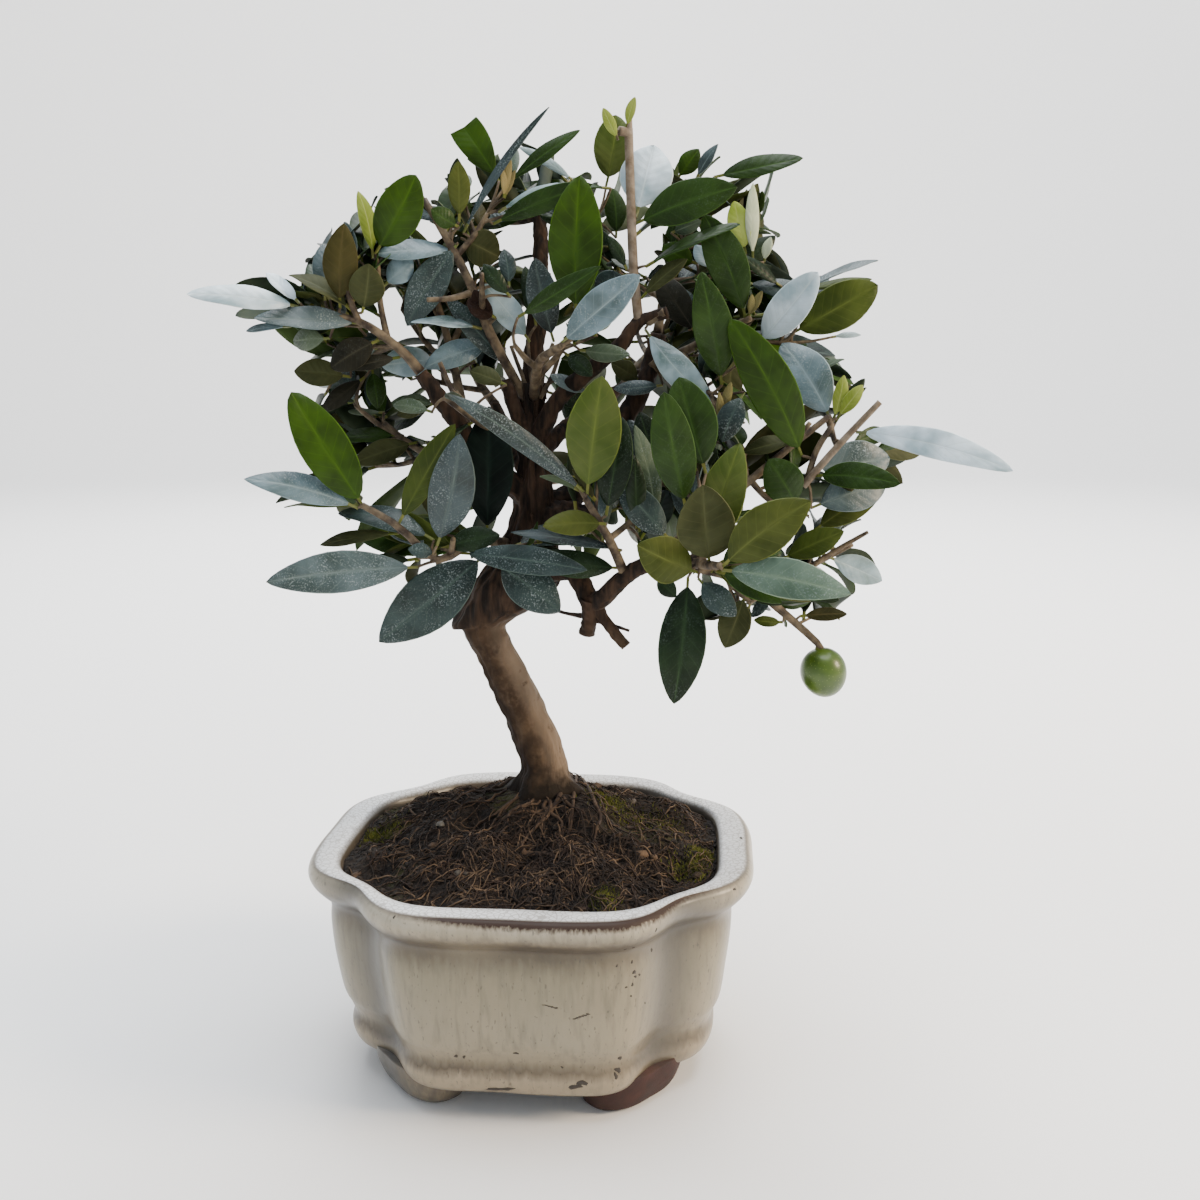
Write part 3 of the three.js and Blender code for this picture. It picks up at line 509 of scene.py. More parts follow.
def soilMaterial():
    # damp potting soil: crumbs of dark humus with paler grit and drying patches, fully matt
    material, tree, shader, place = newMaterial("dampPottingSoil", 0.95)
    cloud = patternIn(tree, place, 16, 3.0)
    grain = patternIn(tree, place, 2.0, 5.0)
    colour = mixOf(tree, spanOf(tree, cloud, 0.35, 0.68), "#1e1611", "#32281f")
    colour = mixOf(tree, spanOf(tree, grain, 0.42, 0.62, 0.0, 0.9), colour, "#110b08")
    grit = patternIn(tree, place, 1.0, 2.0)
    colour = mixOf(tree, spanOf(tree, grit, 0.69, 0.75, 0.0, 0.7), colour, "#6a5b48")
    moss = patternIn(tree, place, 24, 3.0)
    colour = mixOf(tree, spanOf(tree, moss, 0.58, 0.70, 0.0, 0.6), colour, "#4a4a22")
    tree.links.new(colour, shader.inputs["Base Color"])
    relief(tree, shader, grain, 2.0)
    return material


angle = circle(soil["around"])
share = np.linspace(0, 1, soil["rings"])
top = soilPoint(angle[None] + 0 * share[:, None], share[:, None] + 0 * angle[None])
skirt = potWall(angle, soil["edge"][0] + 1, soil["skirt"], soil["edge"][2])[None]
soilGrid = np.concatenate([skirt, top])
poles = np.array([[0, 0, soil["skirt"]], [*soil["trunk"], soilHeight(1.0)]])
addPiece("soil", np.concatenate([soilGrid.reshape(-1, 3), poles]),
         tubeFaces(1, len(soilGrid), soil["around"]), [soilMaterial()], ["soil"])

# Litter on the soil, in millimetres: how many, how thick, how long and how high they arch
litter = {
    # two in five lie in the tangle at an image column and row, and seven in ten are dark
    "fibres": {"count": 2600, "radius": (0.1, 0.36), "length": (4, 17), "arch": (0.3, 1.9), "swing": 1.6,
               "sides": 4, "rows": 12, "thinning": 0.5, "tangle": (540, 868), "tangleSize": (21, 8, 0),
               "wallGap": 0.6, "dark": 0.7},
    # the trunk's roots head this many degrees round, give or take, and sink towards their ends
    "roots": {"count": 14, "radius": (0.3, 0.8), "reach": (0.2, 0.7), "sides": 8, "rows": 24,
              "heading": (235, 75), "thinning": 0.7, "sinking": 1.6, "bareEnd": 0.35},
    "crumbs": {"count": 2200, "size": (0.4, 1.6)},
    "chips": {"count": 46, "size": (1.6, 4.2), "flat": 0.35},
    "moss": {"count": 3600, "height": (0.9, 2.2), "width": 0.32, "sunk": 0.4},
}
# Things with a known place: image column and row, size in millimetres and two shades
soilFinds = {
    "palePebble": (440, 825, 1.9, "#4b4944", "#66635c"), "paleChip": (426, 792, 2.8, "#655a45", "#80745c"),
    "barkChunk": (641, 857, 3.0, "#4b3a2b", "#66513d"), "barkChunkEnd": (654, 858, 2.8, "#49382a", "#624e3a"),
    "greyTuft": (458, 875, 2.6, "#37332f", "#48443f"), "greyTuftToo": (465, 873, 2.2, "#37332f", "#48443f"),
    "stone": (632, 803, 2.4, "#3d3731", "#514a42"), "rootKnob": (571, 787, 2.6, "#4a3a2c", "#645240"),
    "redCrumb": (681, 885, 1.8, "#6f4130", "#875440"),
}
# Roots that lie bare: image columns and rows along each, and its radius at the trunk's end
bareRoots = {
    "longest": ([(575, 786), (556, 803), (529, 813), (501, 823), (474, 838)], 0.9),
    "lower": ([(566, 800), (535, 816), (504, 831), (474, 841), (449, 840)], 0.6),
    "steep": ([(578, 791), (572, 813), (563, 832), (560, 850)], 0.8),
    "right": ([(578, 786), (593, 800), (600, 820), (594, 840), (596, 856)], 0.9),
    "rightToo": ([(582, 790), (604, 812), (618, 828), (640, 838)], 0.6),
    "middle": ([(560, 800), (544, 817), (540, 838), (530, 856)], 0.7),
    "chip": ([(522, 853), (540, 856), (558, 861)], 1.3),
    "straw": ([(461, 878), (468, 890), (475, 901)], 0.35),
    "loop": ([(538, 900), (549, 896), (560, 898), (572, 902)], 0.4),
    "farLeft": ([(400, 868), (418, 876), (430, 872), (448, 880)], 0.5),
}
# Patches of moss: image column and row, and width in millimetres
mossPlaces = {
    "left": (386, 834, 9), "leftEdge": (379, 838, 5), "right": (655, 826, 12), "backRight": (612, 802, 9),
    "edgeRight": (690, 872, 8), "edgeLow": (601, 898, 5), "farRight": (703, 855, 5),
}


def onSoil(u, v):  # the place on the soil that shows at an image column and row
    flat = soilGrid[1:].reshape(-1, 3)
    shownU, shownV = inView(flat)[:2]
    return flat[np.argmin(np.hypot(shownU - u, shownV - v))]


def soilUnder(x, y, steps=7):
    # height of the soil at places: the angle and share of a place are found by steps, as the pot isn't round
    offset = np.stack([x - soil["trunk"][0], y - soil["trunk"][1]], -1)
    angle, share = np.arctan2(y, x), np.full(np.shape(x), 0.5)
    for step in range(steps):
        wall = potWall(angle, soil["edge"][0], 0, soil["edge"][2])[..., :2] - np.array(soil["trunk"])
        seat = soil["seat"] * np.stack([np.cos(angle), np.sin(angle)], -1)
        reach = wall - seat
        share = np.clip(1 - ((offset - seat) * reach).sum(-1) / (reach * reach).sum(-1), 0, 1)
        at = seat + reach * (1 - share)[..., None]
        angle = angle + np.arctan2(offset[..., 1], offset[..., 0]) - np.arctan2(at[..., 1], at[..., 0])
    return soilPoint(angle, share)[..., 2]


def insideRoom(x, y, gap):  # how far from the middle a place may lie, so that it stays inside the pot's wall
    return rimRadius(np.arctan2(y, x), soil["edge"][2]) - soil["edge"][0] - gap


def scattered(count, seed, outer=0.97):  # places on the soil, as even over its area as chance allows
    draw = np.random.default_rng(seed)
    return soilPoint(draw.uniform(0, 2 * np.pi, count), 1 - np.sqrt(draw.uniform(0, outer, count)))


def fibrePaths():  # each lies on the soil from a chance place, wandering, its middle lifted by a half sine
    item = litter["fibres"]
    draw = np.random.default_rng(31)
    count, t = item["count"], np.linspace(0, 1, item["rows"])
    start = scattered(count, 32, 0.8)
    tangle = onSoil(*item["tangle"]) + draw.normal(0, 1, (count, 3)) * item["tangleSize"]
    start = np.where((np.arange(count) % 5 < 2)[:, None], tangle, start)
    heading = draw.uniform(0, 2 * np.pi, count)[:, None]
    step = draw.uniform(*item["length"], count)[:, None] / item["rows"]
    heading = heading + draw.uniform(-item["swing"], item["swing"], count)[:, None] * t
    x = start[:, :1] + np.cumsum(np.cos(heading), 1) * step
    y = start[:, 1:2] + np.cumsum(np.sin(heading), 1) * step
    shrink = np.minimum(1, 0.985 * insideRoom(x, y, item["wallGap"]) / np.hypot(x, y))
    x, y = x * shrink, y * shrink
    arch = draw.uniform(*item["arch"], count)[:, None] * np.sin(np.pi * t)
    radii = draw.uniform(*item["radius"], count)[:, None] * (1 - item["thinning"] * t)
    return np.stack([x, y, soilUnder(x, y) + arch + 0.1], -1), radii


def rootPaths():  # surface roots run out from the trunk's foot, sinking, most of them to the front and left
    item = litter["roots"]
    draw = np.random.default_rng(33)
    count, t = item["count"], np.linspace(0, 1, item["rows"])
    angle = np.radians(draw.normal(*item["heading"], count))[:, None]
    angle = angle + draw.uniform(-0.5, 0.5, (count, 1)) * t
    angle = angle + 0.1 * np.sin(t * draw.uniform(5, 11, (count, 1)) + draw.uniform(0, 6, (count, 1)))
    paths = soilPoint(angle, 0.99 - draw.uniform(*item["reach"], (count, 1)) * t)
    paths[..., 2] += 0.7 * np.sin(t * draw.uniform(3, 8, (count, 1))) + 0.35 - item["sinking"] * t ** 3
    return paths, draw.uniform(*item["radius"], count)[:, None] * (1 - item["thinning"] * t)


def bareRootPaths():  # through their named places, half sunk, thinning to a third
    rows = litter["roots"]["rows"]
    lines = []
    for line, radius in bareRoots.values():
        path = evenly([onSoil(u, v) for u, v in line], rows - 1)
        path[:, 2] = soilUnder(path[:, 0], path[:, 1]) + radius * 0.6
        lines.append(path)
    thick = np.array([radius for line, radius in bareRoots.values()])[:, None]
    return np.array(lines), thick * np.linspace(1, litter["roots"]["bareEnd"], rows)


# The twelve corners of a twenty-sided solid, and its faces: every three corners that are neighbours
golden = (1 + 5 ** 0.5) / 2
ballCorners = np.array([np.roll((0, a, b * golden), turn) for turn in (2, 0, 1)
                        for a in (-1, 1) for b in (-1, 1)])
near = np.linalg.norm(ballCorners[:, None] - ballCorners[None], axis=-1) < 2.1
ballFaces = np.array([(i, j, k) for i in range(12) for j in range(i + 1, 12) for k in range(j + 1, 12)
                      if near[i, j] and near[j, k] and near[i, k]])
a, b, c = (ballCorners[ballFaces[:, k]] for k in range(3))
inward = (np.cross(b - a, c - a) * (a + b + c)).sum(1) < 0
ballFaces[inward] = ballFaces[inward][:, ::-1]


def lumpPoints(centres, sizes, seed, flat=0.6):  # knobbly balls: twenty-sided solids with pushed corners
    draw = np.random.default_rng(seed)
    ball = unit(ballCorners) * draw.uniform(0.7, 1.25, (len(centres), len(ballCorners), 1))
    stretch = draw.uniform(0.5, 1.0, (len(centres), 1, 3)) * [1, 1, flat]
    turn = draw.uniform(0, 2 * np.pi, len(centres))
    cos, sin = np.cos(turn)[:, None], np.sin(turn)[:, None]
    x, y, z = np.moveaxis(ball * stretch * np.asarray(sizes)[:, None, None], -1, 0)
    shape = np.stack([x * cos - y * sin, x * sin + y * cos, z], -1)
    return (np.asarray(centres)[:, None] + shape).reshape(-1, 3)


def repeated(faces, count, corners):  # the same faces for each of many shapes that have so many corners
    return [(faces + (np.arange(count) * corners)[:, None, None]).reshape(-1, faces.shape[1])]


def mossPoints():  # upright three-sided blades in patches, their feet in the soil
    item = litter["moss"]
    draw = np.random.default_rng(36)
    each = item["count"] // len(mossPlaces)
    feet = []
    for u, v, spread in mossPlaces.values():
        around = onSoil(u, v)[:2] + draw.normal(0, spread / 2.2, (each, 2))
        room = 0.97 * insideRoom(around[:, 0], around[:, 1], 0)
        feet.append(around * np.minimum(1, room / np.linalg.norm(around, axis=1))[:, None])
    x, y = np.concatenate(feet).T
    root = np.stack([x, y, soilUnder(x, y) - item["sunk"]], -1)
    turn = draw.uniform(0, 6.28, (len(root), 1)) + circle(3)
    base = root[:, None] + item["width"] * np.stack([np.cos(turn), np.sin(turn), 0 * turn], -1)
    lean = draw.normal(0, 0.5, (len(root), 3)) * [1, 1, 0] + [0, 0, 1]
    tip = root + unit(lean) * (draw.uniform(*item["height"], len(root)) + item["sunk"])[:, None]
    return np.concatenate([base, tip[:, None]], 1).reshape(-1, 3), len(root)


def litterMaterial(name, first, second, size):  # dry plant litter, fully matt
    return twoShades(name, 0.9, (size, 3.0), (0.36, 0.66), (first, second), (0.7, 3.0, 0.15))


paths, radii = fibrePaths()
part = round(len(paths) * litter["fibres"]["dark"])
sides, rows = (litter["fibres"][key] for key in ("sides", "rows"))
addPiece("darkFibres", tubePoints(paths[:part], radii[:part], sides), tubeFaces(part, rows, sides),
         [litterMaterial("rottenBarkFibre", "#170f0a", "#2f2118", 9)])
addPiece("tanFibres", tubePoints(paths[part:], radii[part:], sides),
         tubeFaces(len(paths) - part, rows, sides),
         [litterMaterial("dryRootFibre", "#35281d", "#6d5945", 9)])
paths, radii = (np.concatenate(pair) for pair in zip(rootPaths(), bareRootPaths()))
sides, rows = (litter["roots"][key] for key in ("sides", "rows"))
addPiece("surfaceRoots", tubePoints(paths, radii, sides), tubeFaces(len(paths), rows, sides),
         [litterMaterial("oliveSurfaceRoot", "#2d2018", "#544232", 8)])
draw = np.random.default_rng(38)
crumbs = scattered(litter["crumbs"]["count"], 34)
addPiece("crumbs", lumpPoints(crumbs, draw.uniform(*litter["crumbs"]["size"], len(crumbs)), 39),
         repeated(ballFaces, len(crumbs), len(ballCorners)),
         [litterMaterial("humusCrumb", "#120d09", "#2b211a", 7)], smooth=False)
chips = scattered(litter["chips"]["count"], 35)
sizes = draw.uniform(*litter["chips"]["size"], len(chips))
addPiece("barkChips", lumpPoints(chips, sizes, 40, litter["chips"]["flat"]),
         repeated(ballFaces, len(chips), len(ballCorners)),
         [litterMaterial("barkChip", "#2a1d14", "#4b3a2b", 6)], smooth=False)
for name, (u, v, size, *shades) in soilFinds.items():
    addPiece(name, lumpPoints([onSoil(u, v) + [0, 0, size * 0.2]], [size], len(name), 0.5), [ballFaces],
             [litterMaterial(name, *shades, 3)])
points, count = mossPoints()
spike = np.array([[0, 1, 3], [1, 2, 3], [2, 0, 3], [0, 2, 1]])
addPiece("moss", points, repeated(spike, count, 4), [litterMaterial("cushionMoss", "#3f4416", "#6f7229", 5)],
         smooth=False)

# ---- trunk and boughs ----
wood = {
    # trunk rings: height, centre x, centre y, half width, half depth
    "trunk": [(88, 2, 10, 14, 12.5), (90, 2, 10, 12.5, 11.5), (94, 1.4, 10, 9.4, 9), (101, 1, 10, 8.1, 7.8),
              (116, -4, 10, 8.2, 7.8), (133, -11.4, 8, 7.7, 7.5), (145, -17, 6.4, 7.5, 7.4),
              (149, -18, 6, 8, 7.6), (152, -12, 6, 17, 10.5), (158, -9, 6, 17, 11.5),
              (167, -4.5, 6, 14.6, 10), (174, -2.6, 6, 11, 8.6), (182, -1.2, 6, 8, 7.6),
              (192, 0, 6, 6.7, 6.6), (206, 0, 6, 5, 5), (221, -1, 7, 4.2, 4.2), (231, -1, 8, 3.6, 3.6)],
    "trunkSides": 128, "trunkBetween": 16,
    # root swell: how deep, from which height down, over what height
    "flare": (0.14, 100, 12),
    # the burl: its heights, over how far it comes and goes, how much its ledge tilts and about which x
    "burl": {"low": 147, "high": 176, "ledge": 4, "top": 14, "tilt": 0.32, "about": -18},
    # furrows: where they begin, over what height they deepen, how deep they are below, and the knot's place
    "furrows": {"from": 146, "over": 12, "below": 0.22}, "knot": (9.5, 2, 101),
    "boughs": {
        "bough_leader": ([(-1, 8.6, 226), (0, 14, 251), (1, 20, 271), (0, 26, 290)], 3.4, 2.3),
        "bough_left": ([(0, 6, 188), (-2, 5, 193), (-13, 2, 203), (-22, -2, 215), (-29, -5, 226),
                        (-35, -6, 234)], 4.4, 2.2),
        "bough_right": ([(0, 6, 184), (1, 8, 188), (16, 13, 197), (29, 20, 218), (37, 24, 234),
                         (40, 26, 247)], 5, 2.8),
        "bough_elbow": ([(-1, 6, 210), (8, 2, 225), (17, -2, 233), (29, -4, 243), (35, -4, 250),
                         (44, -6, 253)], 3, 1.8),
        "bough_low_right": ([(-1, 5, 168), (14, -6, 170), (21, -12, 161), (33, -20, 172), (42, -26, 177),
                             (55, -35, 178)], 3.6, 2.1),
        "bough_back_left": ([(-1, 7, 196), (-9, 24, 208), (-19, 42, 223)], 3.2, 1.9),
        "bough_back_right": ([(0, 7, 207), (13, 25, 219), (27, 44, 229)], 3, 1.9),
        "bough_back_low": ([(-1, 8, 177), (4, 27, 185), (9, 48, 194)], 3, 1.8),
    },
    # cut stubs and dead twigs: centre points, both radii
    "stubs": {
        "stubRight": ([(2, 6, 185), (13, 3, 187), (20, 2, 185)], 6, 3.8),
        "stubRed": ([(-2, 5, 213), (-6, 3, 223), (-9, 2, 232)], 2.6, 2.1),
        "stubDown": ([(21, -12, 162), (20, -11, 156), (19, -10, 150)], 3.1, 2.5),
        "stubCross": ([(21, -12, 162), (26, -13, 154), (32, -14, 147)], 2, 1.7),
        "deadTwigLeft": ([(20, -11, 156), (13, -7, 156), (7, -5, 157)], 0.9, 0.5),
        "deadTwigRight": ([(20, -11, 155), (26, -12, 154), (33, -13, 152)], 0.8, 0.45),
    },
    # on the boughs: the swell at the foot and how fast it goes, and lumps by share of the radius and size
    "sides": 40, "steps": 60, "footSwell": (0.32, 9), "limbLumps": [(0.10, 7), (0.06, 2.4)],
}


def trunkSurface():
    # oval rings up the leaning stem, pushed out by root swell at the foot, lumps, and furrows that run upward
    rings = np.array(wood["trunk"], float)
    steps = (len(rings) - 1) * wood["trunkBetween"]
    z, x, y, halfWidth, halfDepth = evenly(rings, steps).T[:, :, None]
    angle = circle(wood["trunkSides"])[None]
    cos, sin = np.cos(angle), np.sin(angle)
    deep, top, over = wood["flare"]
    flare = deep * np.clip((top - z) / over, 0, 1) ** 1.5
    swell = 1 + flare * np.cos(4 * angle + 1) + flare * 0.5 * np.cos(7 * angle + 2)
    grid = np.stack([x + halfWidth * swell * cos, y + halfDepth * swell * sin, z + 0 * angle], -1)
    burl = wood["burl"]
    onBurl = np.clip((z - burl["low"]) / burl["ledge"], 0, 1)
    onBurl = onBurl * np.clip((burl["high"] - z) / burl["top"], 0, 1)
    grid[..., 2] += burl["tilt"] * onBurl * (grid[..., 0] - burl["about"])
    flowing = np.stack([11 * cos + 0 * z, 11 * sin + 0 * z, z * 0.16 + 0 * angle], -1)
    old = np.clip((z - wood["furrows"]["from"]) / wood["furrows"]["over"], wood["furrows"]["below"], 1)
    furrow = old * (0.7 * ripple(flowing, 6.5, 41) + 0.35 * ripple(flowing, 3.0, 42))
    lump = 0.55 * ripple(grid, 17, 43) + 0.28 * ripple(grid, 6, 44)
    knot = 1.6 * np.exp(-((grid - np.array(wood["knot"])) ** 2).sum(-1) / 14)
    return grid + np.stack([cos, sin, 0 * angle], -1) * (furrow + lump + knot)[..., None]


def limbPaths(limbs):  # every limb's smooth centre line in the same number of steps, and its radii
    paths = []
    radii = []
    for line, start, end in limbs:
        paths.append(evenly(line, wood["steps"]))
        radii.append(np.linspace(start, end, wood["steps"] + 1))
    return np.array(paths), np.array(radii)


def barkMaterial():
    # olive bark: smooth grey-tan below, with painted shade in dark blotches on its left side, painted light
    # on its right side and a darker foot, splitting into flowing red-brown furrows above the burl
    material, tree, shader, place = newMaterial("oliveBark", 0.85, Specular_IOR_Level=0.25)
    level = addNode(tree, "ShaderNodeSeparateXYZ", links={"Vector": place}).outputs["Z"]
    damp = attributeOf(tree, "damp")
    age = spanOf(tree, level, 0.138, 0.156)
    cloud = patternIn(tree, place, 10, 4.0, (1, 1, 0.6))
    smooth = mixOf(tree, spanOf(tree, cloud, 0.38, 0.64), "#594633", "#3c2c1e")
    grain = patternIn(tree, place, 1.4, 4.0)
    smooth = mixOf(tree, spanOf(tree, grain, 0.45, 0.65, 0.0, 0.35), smooth, "#6b5742")
    # painted light: the right side of the trunk is lighter
    smooth = mixOf(tree, spanOf(tree, damp, -0.2, -0.85, 0.0, 0.75), smooth, "#8a7661")
    # painted shade: dark blotches over the left side of the trunk
    paintedShadeBlotches = mathOf(tree, "MULTIPLY_ADD", damp, 0.36, patternIn(tree, place, 8, 4.0))
    smooth = mixOf(tree, spanOf(tree, paintedShadeBlotches, 0.36, 0.78, 0.0, 0.9), smooth, "#20140c")
    blot = patternIn(tree, place, 5, 4.0)
    smooth = mixOf(tree, spanOf(tree, blot, 0.60, 0.72, 0.0, 0.7), smooth, "#2b1d13")
    fibre = patternIn(tree, place, 2.6, 4.0, (1, 1, 0.14), 0.3)
    rough = mixOf(tree, spanOf(tree, fibre, 0.38, 0.66), "#140d08", "#3f2e21")
    colour = mixOf(tree, age, smooth, rough)
    # darker at the trunk's foot, just above the soil
    trunkFootLine = mathOf(tree, "MULTIPLY_ADD", patternIn(tree, place, 4, 3.0), -0.012, level)
    colour = mixOf(tree, spanOf(tree, trunkFootLine, 0.086, 0.094, 0.95, 0.0), colour, "#1b150f")
    tree.links.new(colour, shader.inputs["Base Color"])
    relief(tree, shader, fibre, 0.9)
    return material


bark = barkMaterial()
trunkGrid = trunkSurface()
trunkRows = len(trunkGrid)
trunkPoles = np.array([trunkGrid[0].mean(0), trunkGrid[-1].mean(0)])
# each trunk point's side: 1 on the left, which gets painted shade, to -1 on the right, which gets painted
# light
damp = np.concatenate([np.tile(-np.cos(circle(wood["trunkSides"]) + 0.1), trunkRows), [0, 0]])
addPiece("trunk", np.concatenate([trunkGrid.reshape(-1, 3), trunkPoles]),
         tubeFaces(1, trunkRows, wood["trunkSides"]), [bark], ["trunk"], values={"damp": damp})

limbs = [*wood["boughs"].values(), *wood["stubs"].values()]
limbLines, limbRadii = limbPaths(limbs)
limbGrid = tubes(limbLines, limbRadii, wood["sides"])
share = np.linspace(0, 1, wood["steps"] + 1)[None, :, None]
swell, fade = wood["footSwell"]
grow = swell * np.exp(-share * fade)
for number, (height, size) in enumerate(wood["limbLumps"]):
    grow = grow + height * ripple(limbGrid, size, 51 + number)
limbGrid = limbGrid + unit(limbGrid - limbLines[:, :, None]) * (limbRadii[:, :, None] * grow)[..., None]
limbPoints = np.concatenate([limbGrid.reshape(len(limbs), -1, 3), limbLines[:, :1], limbLines[:, -1:]], 1)
addPiece("boughs", limbPoints.reshape(-1, 3), tubeFaces(len(limbs), wood["steps"] + 1, wood["sides"]),
         [bark], boughNodes)

# ---- foliage ----
# How every twig and leaf grows
growth = {
    "stemRadius": (1.8, 1.0), "shootRadius": (1.2, 0.75), "lift": 10, "steepest": 89, "tipSetback": 0.6,
    # masses whose stems are thicker or thinner than the rest, and twigs that stop short of their full length
    "stouter": {"elbow_top": (1.7, 1.45), "top_left": (1.8, 1.15)},
    "trimmed": {("far_right", 0): 0.8, ("far_right", 2): 0.55},
    "pairSpacing": 12, "leafySpan": 0.82, "spread": 56, "tipSpread": 38, "spreadJitter": 9,
    "turnJitter": 12, "sizeJitter": 0.16, "tipSize": 0.88, "widthShare": 0.33, "widthJitter": 0.05,
    "faceShoot": 0.75, "faceSky": 0.45, "droop": 0.14,
    # a leaf that finds no room is turned by these degrees, then made smaller
    "turns": (0, 18, -18, 36, -36, 54, -54, 75, -75, 100, -100), "sizes": (1, 0.82, 0.66, 0.5),
    "spaceMargin": 1, "limbMargin": 1.2, "leafGap": 1.8, "lowest": 122, "twigSample": 3, "seedStep": 7919,
    # a placed leaf's root further off its twig than the snap gets a twiglet, which leaves it further back
    "snap": 1.1, "twiglet": (0.6, 0.4), "holdBack": 0.7,
    # a leaf that fills in stays within these pixels of a placed one, and these millimetres behind it
    "hidden": 8, "ahead": 0.5,
}
# stem: start, then steps of heading, rise and length; pairs, first turn, leaf length, bare tip; then its
# shoots: share up the stem, heading, rise, length, pairs, first turn, leaf length
masses = {
    "far_left": ((-35, -6, 234.5), [(-163, 48, 10), (-162, 34, 15), (-172, 9, 15)], 3, 0, 45, 0,
                 [(0.35, 159, 83, 24, 3, 90, 38), (0.62, -125, 70, 15, 2, 80, 36),
                  (0.3, 144, -9, 25, 3, 20, 36)]),
    "upper_left": ((-21, -1, 214), [(120, 62, 19), (154, 75, 17), (158, 72, 15)], 3, 20, 36, 0,
                   [(0.45, 155, 44, 30, 3, 60, 38), (0.75, 142, 59, 26, 2, 0, 36),
                    (0.6, 36, 67, 26, 2, 40, 36)]),
    "mid_left": ((-16, 1, 207), [(160, -6, 15), (157, 17, 13), (170, 36, 14)], 3, 30, 38, 0,
                 [(0.5, 148, -11, 28, 3, 70, 38), (0.8, 170, 32, 20, 2, 10, 34)]),
    "low_left": ((-9, 3, 178),
                 [(-103, 10, 17), (-122, -4, 12), (-143, -17, 10), (-169, 44, 15), (-169, 32, 13)],
                 5, 90, 46, 0, [(0.2, -68, -13, 21, 2, 10, 40), (0.5, -73, 30, 12, 2, 0, 40)]),
    "front_left": ((-3, 5, 210), [(-122, 22, 23), (-145, 34, 15)], 3, 20, 38, 0,
                   [(0.5, -96, 20, 20, 2, 60, 38), (0.75, -170, 62, 18, 2, 30, 36)]),
    "top_left": ((-2, 7, 224), [(-149, 60, 26), (-158, 68, 18), (178, 62, 17), (164, 57, 12)], 3, 20, 36, 0,
                 [(0.72, 20, 52, 17, 2, 60, 42), (0.55, -139, -10, 17, 2, 30, 38),
                  (0.45, -80, 40, 18, 2, 50, 36)]),
    "front_top": ((0, 6, 226), [(-78, 30, 22), (-62, 17, 13), (-62, 11, 8)], 3, 50, 42, 0,
                  [(0.45, -118, 30, 14, 2, 40, 40), (0.3, 2, 52, 22, 2, 80, 44)]),
    "leader_top": ((0, 25, 286), [(74, 8, 11), (47, 12, 8)], 2, 90, 32, 0,
                   [(0.25, 140, 0, 26, 3, 0, 36), (0.4, 57, 2, 27, 3, 0, 36),
                    (0.3, -100, 12, 14, 2, 90, 34)]),
    "elbow_top": ((35, -4, 250), [(180, 84, 16), (120, 84, 21), (113, 84, 22)], 3, 0, 38, 20,
                  [(0.97, 60, 84, 5, 0, 60, 13)]),
    "right_top": ((40, 26.5, 247.5), [(61, 71, 15), (36, 66, 14), (19, 60, 12)], 3, 30, 38, 0,
                  [(0.45, -9, 10, 24, 3, 60, 38), (0.75, 28, 18, 26, 2, 0, 36),
                   (0.3, 142, 27, 23, 2, 40, 36)]),
    "right_mid": ((37, 24, 236), [(-40, 18, 19), (-45, 20, 15), (-34, 20, 12)], 3, 40, 42, 0,
                  [(0.35, -72, -24, 33, 2, 0, 42), (0.7, 7, -6, 26, 2, 70, 42),
                   (0.6, -20, 66, 18, 2, 0, 40)]),
    "far_right": ((40, -24, 176), [(6, 40, 24), (18, 38, 35), (14, 37, 31)], 1, 96, 50, 11,
                  [(0.45, 14, -42, 14, 2, 30, 40), (0.62, -30, 53, 20, 2, 90, 48),
                   (0.8, 69, -38, 20, 2, 80, 42), (0.35, 85, 33, 34, 3, 20, 42)]),
    "whorl": ((54, -34.5, 178), [(-70, 6, 12), (-78, 8, 14)], 4, 10, 37, 0, [(0.25, -99, 77, 21, 2, 0, 40)]),
    "olive_twig": ((48, -30, 177.5), [(25, -17, 24), (12, -38, 13.5), (0, -41, 18), (0, -76, 3)],
                   3, 20, 24, 22, [(0.45, 25, 16, 39, 3, 60, 34), (0.3, -30, -40, 12, 1, 0, 26)]),
    "front_mid": ((32, -19, 171), [(-122, 56, 13), (-131, 55, 9), (-160, 58, 9)], 3, 90, 46, 0,
                  [(0.5, 30, 39, 18, 2, 10, 42)]),
    "inner_right": ((27, 19, 214), [(-54, -20, 18), (-52, -42, 14)], 3, 30, 40, 0,
                    [(0.4, -49, 5, 28, 2, 60, 40), (0.6, 129, -76, 24, 2, 10, 36)]),
    "back_left": ((-19, 42, 223), [(125, 30, 16), (118, 38, 16), (128, 30, 14)], 3, 10, 40, 0,
                  [(0.2, 172, 14, 30, 3, 40, 38), (0.45, 74, 20, 28, 3, 80, 38),
                   (0.5, 150, 66, 28, 3, 20, 38)]),
    "back_right": ((27, 44, 229), [(62, 34, 16), (50, 30, 16), (64, 36, 14)], 3, 40, 40, 0,
                   [(0.2, 8, 12, 34, 3, 10, 38), (0.45, 104, 22, 26, 3, 60, 38),
                    (0.5, 30, 66, 26, 3, 80, 38)]),
    "back_low": ((9, 48, 194), [(84, 8, 16), (92, 16, 16), (82, 10, 12)], 3, 30, 38, 0,
                 [(0.15, 20, 2, 32, 3, 70, 36), (0.2, 158, -4, 32, 3, 20, 36),
                  (0.55, 60, -28, 22, 2, 40, 34), (0.5, 118, 44, 24, 2, 0, 36)]),
}


def towards(heading, rise):  # unit vector of a heading from +X towards +Y and a rise above level
    around, up = np.radians(heading), np.radians(rise)
    return np.array([np.cos(up) * np.cos(around), np.cos(up) * np.sin(around), np.sin(up)])


